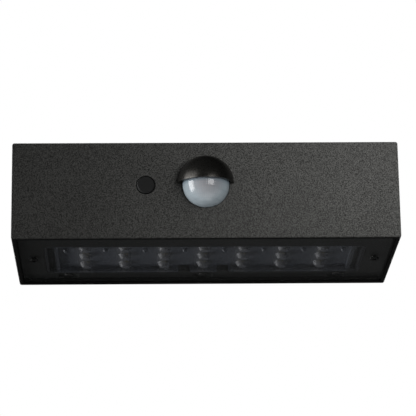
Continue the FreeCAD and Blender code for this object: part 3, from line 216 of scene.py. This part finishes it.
def moulded(name, colour, grain, depth, rough=0.55, gloss=0.3, speckle=0.25):
    """Moulded plastic with an eroded grain: tiny pits, flecks and a slow drift of tone."""
    look = Look(name, Specular_IOR_Level=gloss)
    fine = look.noise(grain, detail=3.0, rough=0.6)
    slow = look.noise(grain * DRIFT_SIZE)
    where = look.between(fine, FLECK_LOW, FLECK_HIGH)
    flecks = look.blend(where, scaled(colour, 1 - speckle), scaled(colour, 1 + speckle))
    drift = look.between(slow, NOISE_LOW, NOISE_HIGH, DRIFT_LOW, DRIFT_HIGH)
    tint = look.add("ShaderNodeCombineColor", {0: drift, 1: drift, 2: drift})
    look.colour = look.blend(1.0, flecks, tint, how="MULTIPLY")
    look.set("Base Color", look.colour)
    look.roughen(fine, rough - SMOOTHER, rough + ROUGHER)
    look.set("Normal", look.bump(fine, depth))
    return look


# ------------------------------------------------------------------ materials
COAT = 0.4 * MM
BUTTON_HOLE = 5.05 * MM
# Near black, painted as shade on the rims and in the button's hole.
PAINTED_SHADE_BLACK = rgb(0.005, 0.005, 0.005)


def case_look():
    """A speckled coat on the outer faces; the rims, the inside and the button's hole are near black,
    painted shade for the little light on the down-facing rims and in the hole.
    """
    look = moulded(
        "case_plastic", rgb(0.0525, 0.0525, 0.050), grain=0.54 * MM, depth=0.22 * MM,
        gloss=0.06, speckle=0.7,
    )
    low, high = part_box("housing")
    across, out, up = look.axes(look.place)
    side = look.math("GREATER_THAN", look.absolute(across), high[0] - COAT)
    front = look.math("LESS_THAN", out, low[1] + COAT)
    roof = look.math("GREATER_THAN", up, high[2] - COAT)
    outer = look.math("MAXIMUM", look.math("MAXIMUM", side, front), roof)
    seal_low, seal_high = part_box("button_seal")
    hole_x = (seal_low[0] + seal_high[0]) / 2
    hole_z = (seal_low[2] + seal_high[2]) / 2
    flat = look.add("ShaderNodeCombineXYZ", {0: across, 2: up})
    from_hole = look.add(
        "ShaderNodeVectorMath", {0: flat, 1: (hole_x, 0, hole_z)},
        output="Value", operation="DISTANCE",
    )
    outer = look.times(outer, look.math("GREATER_THAN", from_hole, BUTTON_HOLE))
    # Painted shade: the down-facing rims, the inside and the wall of the button's hole get near
    # black instead of the coat.
    look.set("Base Color", look.blend(outer, PAINTED_SHADE_BLACK, look.colour))
    return look


def tray_look():
    """Satin black with hardly any grain."""
    return moulded(
        "tray_plastic", rgb(0.012, 0.013, 0.013), grain=1.2 * MM, depth=0.06 * MM, rough=0.4
    )


def hood_look():
    """Glossy black whose mirrored light is a little warm."""
    look = moulded(
        "hood_plastic", rgb(0.006, 0.006, 0.0055), grain=0.6 * MM, depth=0.01 * MM,
        rough=0.3, gloss=0.5,
    )
    look.set("Specular Tint", rgb(1.0, 0.95, 0.88))
    return look


def rubber_look(name, value):
    """Matt rubber, faintly green as black rubber often is."""
    colour = rgb(value, value * 1.04, value * 1.02)
    return moulded(name, colour, grain=0.5 * MM, depth=0.03 * MM, rough=0.6, gloss=0.2)


MARK_SIZE = 0.2 * MM
MARK_STRETCH = (1, 1, 8)


def metal_look(name, colour, rough=0.32):
    """Plated steel with fine turning marks."""
    look = Look(name, Metallic=1.0)
    fine = look.noise(MARK_SIZE, place=look.stretch(MARK_STRETCH))
    look.set("Base Color", look.blend(fine, scaled(colour, 0.85), colour))
    look.roughen(fine, rough - ROUGHER, rough + ROUGHER)
    look.set("Normal", look.bump(fine, 0.01 * MM))
    return look


SENSOR_AT = Vector((0, -0.086, 0.0027))
CELL_TURNS = 26.0
CELL_RISES = 14.0
SEAM_TURN = 0.5
SEAM_RISE = 0.3
SEAM_SHADE = 0.32
FACING_FROM = 0.55
FACING_TO = 0.95
# How dark the painted shade under the hood is, and the heights over which it fades in.
HOOD_SHADE = 0.7
HOOD_SHADE_FROM = -2.2 * MM
HOOD_SHADE_TO = 0.2 * MM


def dome_look():
    """Milky plastic with rows of faint lens cells, cool at its edge and warmer in front, with
    painted shade at its top under the hood.
    """
    look = Look("milky_lens", Specular_IOR_Level=0.5)
    away = look.add(
        "ShaderNodeVectorMath", {0: look.place, 1: tuple(-SENSOR_AT)}, operation="ADD"
    )
    across, out, up = look.axes(away)
    ahead = look.times(out, -1.0)
    turn = look.math("ARCTAN2", across, ahead)
    level = look.math("ADD", look.times(across, across), look.times(out, out))
    rise = look.math("ARCTAN2", up, look.math("SQRT", level))
    columns = look.math("SINE", look.times(turn, CELL_TURNS))
    rows = look.math("SINE", look.times(rise, CELL_RISES))
    ridge = look.between(look.absolute(columns), 0.0, SEAM_TURN)
    band = look.between(look.absolute(rows), 0.0, SEAM_RISE)
    cells = look.times(ridge, band)
    cloudy = look.noise(4 * MM, detail=3.0)
    radius = look.add("ShaderNodeVectorMath", {0: away}, output="Value", operation="LENGTH")
    middle = look.between(look.math("DIVIDE", ahead, radius), FACING_FROM, FACING_TO)
    cool = look.blend(cloudy, rgb(0.29, 0.345, 0.38), rgb(0.37, 0.42, 0.45))
    warm = look.blend(cloudy, rgb(0.27, 0.275, 0.295), rgb(0.31, 0.31, 0.325))
    # Painted shade: the dome turns darker and bluer towards its top, just under the hood's rim.
    painted_hood_shade = look.between(up, HOOD_SHADE_FROM, HOOD_SHADE_TO, 0.0, HOOD_SHADE)
    base = look.blend(painted_hood_shade, look.blend(middle, cool, warm), rgb(0.13, 0.18, 0.22))
    seams = look.between(cells, 0, 1, SEAM_SHADE, 0.0)
    look.set("Base Color", look.blend(seams, base, rgb(0.22, 0.27, 0.31)))
    look.roughen(cloudy, 0.09, 0.13)
    look.set("Normal", look.bump(cells, 0.05 * MM, strength=0.35))
    return look


DUST = 0.9 * MM


def clear_look(name, colour, alpha, rough):
    """Clear or smoky plastic: part of the light passes, the rest is its own colour and gloss."""
    look = Look(name, Alpha=alpha, Specular_IOR_Level=0.5)
    dust = look.noise(DUST, detail=3.0)
    look.set("Base Color", look.blend(dust, scaled(colour, 0.9), colour))
    look.roughen(dust, rough, rough + 0.06)
    return look


HALF_CAP_STEP = 10.45 * MM
# Where the painted highlight streaks lie beside each column of caps.
STREAK_SHIFT = 1.2 * MM
STREAK_NEAR = 1 * MM
STREAK_FAR = 7 * MM
# Where the painted shade at the lens's two ends begins and where it is full.
LENS_END_FROM = 76 * MM
LENS_END_TO = 81 * MM


def lens_look():
    """Clear acrylic with painted highlight streaks beside the columns of light pockets and painted
    shade at its two ends.
    """
    look = Look("clear_lens", Alpha=0.55, Specular_IOR_Level=1.0)
    across = look.axes(look.place)["X"]
    # Painted highlight: a lighter band beside each column of caps stands for the streaks of light
    # mirrored in them.
    columns = look.math("ADD", across, HALF_CAP_STEP + STREAK_SHIFT)
    away = look.math("PINGPONG", columns, HALF_CAP_STEP)
    painted_streak = look.between(away, HALF_CAP_STEP - STREAK_NEAR, HALF_CAP_STEP - STREAK_FAR, 1.0, 0.0)
    dust = look.noise(DUST, detail=3.0)
    clear = look.blend(dust, rgb(0.09, 0.103, 0.135), rgb(0.10, 0.115, 0.15))
    with_painted_streaks = look.blend(look.times(painted_streak, painted_streak), clear, rgb(0.21, 0.22, 0.245))
    # Painted shade: both ends of the lens are made dark.
    painted_end_shade = look.between(look.absolute(across), LENS_END_FROM, LENS_END_TO)
    look.set("Base Color", look.blend(painted_end_shade, with_painted_streaks, rgb(0.025, 0.028, 0.036)))
    look.roughen(dust, 0.52, 0.58)
    return look


FINGER_STEP = 1 * MM
FINGER_CORE = 0.04 * MM
FINGER_EDGE = 0.1 * MM


def cells_look():
    """Solar cell strips: deep blue silicon with fine pale fingers."""
    look = Look("solar_cell", Specular_IOR_Level=0.5)
    from_finger = look.math("PINGPONG", look.axes(look.place)["Y"], FINGER_STEP)
    fingers = look.between(from_finger, FINGER_CORE, FINGER_EDGE, 1.0, 0.0)
    flow = look.noise(12 * MM, detail=3.0)
    silicon = look.blend(flow, rgb(0.008, 0.012, 0.036), rgb(0.016, 0.026, 0.075))
    look.set("Base Color", look.blend(look.times(fingers, 0.5), silicon, grey(0.35)))
    look.roughen(flow, 0.24, 0.27)
    return look


TRACK_SCALE = 260.0
TRACK_CORE = 0.03
TRACK_EDGE = 0.06


def board_look(name, base, track):
    """A circuit board: solder mask with faint tracks under it."""
    look = Look(name, Specular_IOR_Level=0.4)
    from_track = look.add(
        "ShaderNodeTexVoronoi", {"Vector": look.place, "Scale": TRACK_SCALE},
        output="Distance", feature="DISTANCE_TO_EDGE",
    )
    tracks = look.between(from_track, TRACK_CORE, TRACK_EDGE, 1.0, 0.0)
    look.set("Base Color", look.blend(look.times(tracks, 0.5), base, track))
    look.roughen(look.noise(0.8 * MM), 0.3, 0.42)
    look.set("Normal", look.bump(tracks, 0.03 * MM))
    return look


def chip_look():
    """A light chip: clouds of yellow phosphor."""
    look = Look("light_chip")
    spots = look.noise(0.4 * MM)
    look.set("Base Color", look.blend(spots, rgb(0.75, 0.55, 0.12), rgb(0.9, 0.74, 0.28)))
    look.roughen(spots, 0.3, 0.5)
    return look


STEEL = rgb(0.56, 0.56, 0.55)


def looks_of_nodes():
    """Every look with the nodes that have it."""
    nylon = moulded("socket_nylon", rgb(0.7, 0.67, 0.58), 0.9 * MM, 0.03 * MM, rough=0.45)
    switch = moulded("switch_plastic", rgb(0.02, 0.02, 0.02), 0.6 * MM, 0.03 * MM)
    laminate = moulded("panel_board", rgb(0.55, 0.56, 0.54), 1 * MM, 0.02 * MM)
    package = moulded("chip_black", rgb(0.015, 0.015, 0.015), 0.6 * MM, 0.02 * MM)
    sleeve = moulded("cell_sleeve", rgb(0.03, 0.09, 0.30), 2 * MM, 0.03 * MM, rough=0.3)
    smoky = clear_look("smoky_cover", rgb(0.012, 0.0135, 0.0125), alpha=0.20, rough=0.06)
    glass = clear_look("panel_front", rgb(0.02, 0.02, 0.025), alpha=0.12, rough=0.08)
    white_board = board_look("light_board", rgb(0.62, 0.63, 0.62), rgb(0.5, 0.5, 0.48))
    green_board = board_look("main_board", rgb(0.012, 0.09, 0.035), rgb(0.03, 0.16, 0.07))
    return {
        case_look(): ["housing", "back_plate"],
        tray_look(): ["led_tray", "battery_holder", "pir_retainer", "sensor_spacer"],
        rubber_look("soft_rubber", 0.006): [
            "back_gasket", "cover_seal", "pir_gasket", "button_seal", "solar_bed",
        ],
        rubber_look("button_rubber", 0.0095): ["button_cap"],
        rubber_look("lead_jacket", 0.02): ["solar_lead", "battery_lead", "led_lead"],
        metal_look("steel", STEEL): [
            "back_screws", "tray_screws", "led_board_screws",
            "retainer_screws", "main_board_screws", "holder_screws",
            "battery_contacts", "pir_sensor",
        ],
        metal_look("black_steel", rgb(0.03, 0.03, 0.03), 0.35): ["cover_screws"],
        hood_look(): ["pir_hood"],
        dome_look(): ["pir_lens"],
        cells_look(): ["solar_cells"],
        laminate: ["solar_board"],
        glass: ["solar_glass"],
        smoky: ["led_cover"],
        lens_look(): ["lens_array"],
        white_board: ["led_board"],
        chip_look(): ["leds"],
        green_board: ["main_board"],
        package: ["board_chips"],
        nylon: ["board_sockets", "lead_plugs"],
        switch: ["switch_body", "switch_plunger"],
        sleeve: ["battery_cell"],
    }


def dress():
    """Give every node its finish."""
    for look, nodes in looks_of_nodes().items():
        for node in nodes:
            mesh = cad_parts[node].data
            mesh.materials.clear()
            mesh.materials.append(look.material)


# ------------------------------------------------------------------ screws
DETAIL = "_detail"
ROUND_STEPS = 40
THREAD_PITCH = 0.8 * MM
THREAD_ROOT = 0.8
ROOT_AT = 0.25
CREST_AT = 0.75
TIP_FROM = 0.97
TIP_WIDTH = 0.35
SHARP_ANGLE = math.radians(35)
FIRST_SPIN = 0.5
NEXT_SPIN = 1.9
# The dome of a head from its middle to its seat: shares of its radius and of its height.
HEAD_CURVE = ((0.5, 0.985), (0.75, 0.91), (0.9, 0.74), (0.98, 0.5), (1, 0.25), (0.97, 0))
# The crossed slots: shares of the head's radius and of its height.
SLOT_LONG = 1.25
SLOT_WIDE = 0.3
SLOT_DEEP = 0.6


def stand_for(node, mesh):
    """A piece shown in place of a node of the fixed body."""
    piece = add_object(node + DETAIL, mesh)
    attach(piece, "lamp")
    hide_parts(node)


def lathe(profile):
    """A closed form turned from points of radius and height; both ends lie on the axis."""
    form = bmesh.new()
    rings = []
    for radius, height in profile[1:-1]:
        ring = []
        for step in range(ROUND_STEPS):
            angle = math.tau * step / ROUND_STEPS
            ring.append(form.verts.new((radius * math.cos(angle), radius * math.sin(angle), height)))
        rings.append(ring)
    top = form.verts.new((0, 0, profile[0][1]))
    tip = form.verts.new((0, 0, profile[-1][1]))
    for step in range(ROUND_STEPS):
        after = (step + 1) % ROUND_STEPS
        form.faces.new((top, rings[0][step], rings[0][after]))
        form.faces.new((tip, rings[-1][after], rings[-1][step]))
        for upper, lower in zip(rings, rings[1:]):
            form.faces.new((upper[step], lower[step], lower[after], upper[after]))
    bmesh.ops.recalc_face_normals(form, faces=form.faces)
    return mesh_of(form, "turned")


def cut_slots(mesh, length, width, depth, top):
    """The mesh less two crossed slots in its top."""
    whole = add_object("whole", mesh)
    slots = []
    for long_x, long_y in ((length, width), (width, length)):
        form = bmesh.new()
        stretch = Matrix.Diagonal((long_x, long_y, depth * 2, 1))
        bmesh.ops.create_cube(form, size=1, matrix=Matrix.Translation((0, 0, top)) @ stretch)
        slot = add_object("slot", mesh_of(form, "slot"))
        slots.append(slot)
        cut = whole.modifiers.new("slot", "BOOLEAN")
        cut.operation = "DIFFERENCE"
        cut.solver = "EXACT"
        cut.object = slot
    ready = whole.evaluated_get(bpy.context.evaluated_depsgraph_get())
    result = bpy.data.meshes.new_from_object(ready)
    for used in [whole] + slots:
        bpy.data.objects.remove(used)
    return result


def screw_mesh(head_radius, head_thick, shank_radius, shank_length):
    """A pan-head screw with a cross recess and a thread; its seat is at height 0."""
    profile = [(0, head_thick)]
    for across, up in HEAD_CURVE:
        profile.append((head_radius * across, head_thick * up))
    profile.append((shank_radius, 0))
    turns = int((shank_length - shank_radius) / THREAD_PITCH)
    for turn in range(turns):
        profile.append((shank_radius * THREAD_ROOT, -THREAD_PITCH * (turn + ROOT_AT)))
        profile.append((shank_radius, -THREAD_PITCH * (turn + CREST_AT)))
    profile.append((shank_radius * TIP_WIDTH, -shank_length * TIP_FROM))
    profile.append((0, -shank_length))
    return cut_slots(
        lathe(profile), length=head_radius * SLOT_LONG, width=head_radius * SLOT_WIDE,
        depth=head_thick * SLOT_DEEP, top=head_thick,
    )


def add_screws(node, look, mesh, spots, turn):
    """One piece of several screws in place of a node's plain ones."""
    form = bmesh.new()
    for number, spot in enumerate(spots):
        spin = Matrix.Rotation(FIRST_SPIN + number * NEXT_SPIN, 4, "Z")
        one = mesh.copy()
        one.transform(Matrix.Translation(spot) @ turn @ spin)
        form.from_mesh(one)
    made = mesh_of(form, node + DETAIL)
    for face in made.polygons:
        face.use_smooth = True
    made.set_sharp_from_angle(angle=SHARP_ANGLE)
    made.materials.append(look.material)
    stand_for(node, made)


def add_all_screws():
    """The screws that show: at the back, in the cover and in the tray's dishes."""
    steel = metal_look("screw_steel", STEEL, 0.3)
    dull = metal_look("screw_dull", grey(0.035), 0.55)
    black = metal_look("screw_black", grey(0.008), 0.45)
    to_wall = Matrix.Rotation(math.radians(-90), 4, "X")
    low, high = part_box("back_screws")
    head = 2.7 * MM
    thick = 1.2 * MM
    shank = high[1] - low[1] - thick
    mesh = screw_mesh(head, thick, shank_radius=1.4 * MM, shank_length=shank)
    columns = (low[0] + head, high[0] - head)
    rows = (low[2] + head, high[2] - head)
    spots = [(x, high[1] - thick, z) for x in columns for z in rows]
    add_screws("back_screws", steel, mesh, spots, to_wall)
    down = Matrix.Rotation(math.radians(180), 4, "X")
    head = 2.3 * MM
    thick = 1.1 * MM
    for node, look, between_ends in (("tray_screws", dull, [0]), ("cover_screws", black, [])):
        low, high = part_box(node)
        shank = high[2] - low[2] - thick
        mesh = screw_mesh(head, thick, shank_radius=1.1 * MM, shank_length=shank)
        columns = [low[0] + head, high[0] - head] + between_ends
        middle = (low[1] + high[1]) / 2
        spots = [(x, middle, low[2] + thick) for x in columns]
        add_screws(node, look, mesh, spots, down)


# ------------------------------------------------------------------ faces under clear pieces
HAIR = 0.04 * MM


def stand_back(node, face):
    """A node whose one face stands a hair back from the clear piece that lies on it."""
    low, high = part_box(node)
    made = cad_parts[node].data.copy()
    for vertex in made.vertices:
        if face == "top" and vertex.co.z > high[2] - HAIR:
            vertex.co.z -= HAIR
        if face == "bottom" and vertex.co.z < low[2] + HAIR:
            vertex.co.z += HAIR
    stand_for(node, made)


# ------------------------------------------------------------------ studio
FLOOR_DOWN = 1.6
FLOOR_HALF = 6
FLOOR_SEEN = 0.75
WORLD_LEVEL = 0.10
WHITE = grey(1.0)
BLACK = grey(0.0)


def seen_directly(tree):
    """1 for what the camera, a mirror or clear plastic sees, 0 for light that falls on things."""
    path = tree.nodes.new("ShaderNodeLightPath")
    total = path.outputs["Is Camera Ray"]
    for name in ("Is Glossy Ray", "Is Transmission Ray"):
        largest = tree.nodes.new("ShaderNodeMath")
        largest.operation = "MAXIMUM"
        tree.links.new(total, largest.inputs[0])
        tree.links.new(path.outputs[name], largest.inputs[1])
        total = largest.outputs[0]
    return total


def add_world():
    """White where it is seen, a dim even light where it falls."""
    world = bpy.data.worlds.new("studio")
    bpy.context.scene.world = world
    world.use_nodes = True
    tree = world.node_tree
    tree.nodes.clear()
    seen = tree.nodes.new("ShaderNodeBackground")
    seen.inputs["Color"].default_value = WHITE
    lit = tree.nodes.new("ShaderNodeBackground")
    lit.inputs["Color"].default_value = WHITE
    lit.inputs["Strength"].default_value = WORLD_LEVEL
    mix = tree.nodes.new("ShaderNodeMixShader")
    output = tree.nodes.new("ShaderNodeOutputWorld")
    tree.links.new(seen_directly(tree), mix.inputs[0])
    tree.links.new(lit.outputs[0], mix.inputs[1])
    tree.links.new(seen.outputs[0], mix.inputs[2])
    tree.links.new(mix.outputs[0], output.inputs[0])


def flat_sheet(name, half_x, half_y, place, turn):
    """A rectangle of the studio."""
    mesh = bpy.data.meshes.new(name)
    corners = [
        (-half_x, -half_y, 0), (half_x, -half_y, 0), (half_x, half_y, 0), (-half_x, half_y, 0)
    ]
    mesh.from_pydata(corners, [], [(0, 1, 2, 3)])
    sheet = add_object(name, mesh)
    sheet.matrix_world = Matrix.Translation(place) @ turn
    return sheet


def add_floor():
    """A plain pale floor, well below the lamp, that keeps shadows."""
    level = Matrix.Identity(4)
    floor = flat_sheet("floor", FLOOR_HALF, FLOOR_HALF, (0, 0, -FLOOR_DOWN), level)
    look = Look("floor", Base_Color=grey(0.8), Roughness=0.9, Specular_IOR_Level=0.0)
    look.set("Emission Color", WHITE)
    look.set("Emission Strength", look.times(seen_directly(look.tree), FLOOR_SEEN))
    floor.data.materials.append(look.material)


def card_look(name, level):
    """Black that glows by itself at a low level."""
    look = Look(name, Base_Color=BLACK, Specular_IOR_Level=0.0, Emission_Color=WHITE)
    look.set("Emission Strength", level)
    return look


def show_only_in_gloss(card, look):
    """A card that gloss sees: it keeps the white surroundings out of dark plastic."""
    card.data.materials.append(look.material)
    card.visible_camera = False
    card.visible_diffuse = False
    card.visible_transmission = False
    card.visible_shadow = False


CARD_AT = (0, 0.60, -0.46)
CARD_HALF_WIDTH = 1.0
CARD_HALF_HEIGHT = 0.45
CARD_LEFT = -0.14
CARD_RIGHT = 0.03
CARD_LEFT_LEVEL = 0.028
CARD_RIGHT_LEVEL = 0.075
TENT_RADIUS = 1.7
TENT_LEVEL = 0.004
TENT_FOOT = -0.55
DOOR_FROM = 0.25
DOOR_TOP = 0.35


def add_card():
    """A card low behind the lamp that gets brighter from left to right."""
    upright = Matrix.Rotation(math.radians(90), 4, "X")
    card = flat_sheet("card_behind", CARD_HALF_WIDTH, CARD_HALF_HEIGHT, CARD_AT, upright)
    look = card_look("card_behind", CARD_RIGHT_LEVEL)
    across = look.axes(look.place)["X"]
    grade = look.between(across, CARD_LEFT, CARD_RIGHT, CARD_LEFT_LEVEL, CARD_RIGHT_LEVEL)
    look.set("Emission Strength", grade)
    show_only_in_gloss(card, look)


def add_tent():
    """A dark ball round the lamp, with its foot off and a low door behind for the white."""
    form = bmesh.new()
    bmesh.ops.create_uvsphere(form, u_segments=48, v_segments=24, radius=TENT_RADIUS)
    opened = []
    for face in form.faces:
        middle = face.calc_center_median()
        in_door = middle.y > DOOR_FROM and middle.z < DOOR_TOP
        if middle.z < TENT_FOOT or in_door:
            opened.append(face)
    bmesh.ops.delete(form, geom=opened, context="FACES")
    tent = add_object("tent", mesh_of(form, "tent"))
    show_only_in_gloss(tent, card_look("tent", TENT_LEVEL))


def add_light(name, size, power, place, aim=(0, -0.09, 0), tall=None, spread=180):
    """A soft box; sizes in metres, power in watts, spread in degrees."""
    data = bpy.data.lights.new(name, "AREA")
    data.shape = "RECTANGLE"
    data.size = size
    data.size_y = tall or size
    data.energy = power
    data.spread = math.radians(spread)
    lamp = add_object(name, data)
    toward = Vector(aim) - Vector(place)
    lamp.rotation_euler = toward.to_track_quat("-Z", "Y").to_euler()
    lamp.location = place
    lamp.visible_camera = False
    return lamp


def light_only(lamp, nodes):
    """Keep a lamp's light to some nodes and the pieces that stand for them, as flags would."""
    group = bpy.data.collections.new("lit_by_" + lamp.name)
    for node in nodes:
        group.objects.link(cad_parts[node])
        if node + DETAIL in bpy.data.objects:
            group.objects.link(bpy.data.objects[node + DETAIL])
    lamp.light_linking.receiver_collection = group


UNDERSIDE = [
    "led_cover", "led_tray", "lens_array", "led_board", "leds", "tray_screws", "cover_screws",
]
SOLAR_PANEL = ["solar_glass", "solar_cells", "solar_board", "solar_bed"]
DOME = "pir_lens"
HOOD = "pir_hood"
LAMP_MIDDLE = (0, -0.05, 0)


def light_the_front():
    """Soft boxes for the face, the dome and its hood, most of them from the left."""
    add_light("key", size=0.17, power=0.54, place=(0.130, -0.405, -0.010))
    near = add_light(
        "near", size=0.14, power=0.16, place=(0.13, -0.25, 0.05), aim=(0.12, -0.086, 0.04),
        spread=120,
    )
    near.visible_glossy = False
    light_only(near, ["housing"])
    left = add_light("left", size=0.42, power=6.1, place=(-0.63, -0.15, -0.035), tall=0.56)
    light_only(left, [DOME, "button_cap"])
    beside = add_light("hood_left", size=0.90, power=6.0, place=(-0.60, -0.14, 0.02), tall=0.30)
    light_only(beside, [HOOD])
    above = add_light("hood_high", size=0.60, power=1.15, place=(-0.52, -0.30, 0.19), tall=0.34)
    light_only(above, [HOOD])
    under = add_light("under", size=0.40, power=0.62, place=(0.10, -0.22, -0.52))
    light_only(under, [DOME])


def light_the_underside():
    """A long box, low at the left, which makes the streaks in the caps."""
    low = add_light(
        "low_left", size=1.00, power=12.0, place=(-0.96, 0.26, -0.40), aim=(0, -0.04, -0.02),
        tall=0.40,
    )
    light_only(low, UNDERSIDE)


def light_the_rest():
    """An even light from above for the panel, and boxes beside and behind for the other sides."""
    sky = add_light("sky", size=0.8, power=3.0, place=(0.1, -0.3, 1.2), aim=(0, -0.04, 0.026))
    sky.visible_glossy = False
    light_only(sky, SOLAR_PANEL)
    apart = SOLAR_PANEL + [DOME, HOOD]
    others = [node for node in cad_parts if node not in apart]
    boxes = []
    for side in (-1, 1):
        boxes.append((f"side_{side}", 0.4, 2.0, (side * 0.70, 0.16, 0.25)))
        boxes.append((f"behind_{side}", 0.5, 5.0, (side * 0.58, 0.75, 0.33)))
    boxes.append(("behind_top", 0.6, 5.0, (0.0, 0.55, 0.80)))
    for name, size, power, place in boxes:
        light_only(add_light(name, size, power, place, aim=LAMP_MIDDLE), others)


bpy.context.scene.view_settings.view_transform = "Standard"
add_camera()
add_world()
add_floor()
add_card()
add_tent()
dress()
add_all_screws()
stand_back("solar_cells", "top")
stand_back("led_board", "bottom")
light_the_front()
light_the_underside()
light_the_rest()
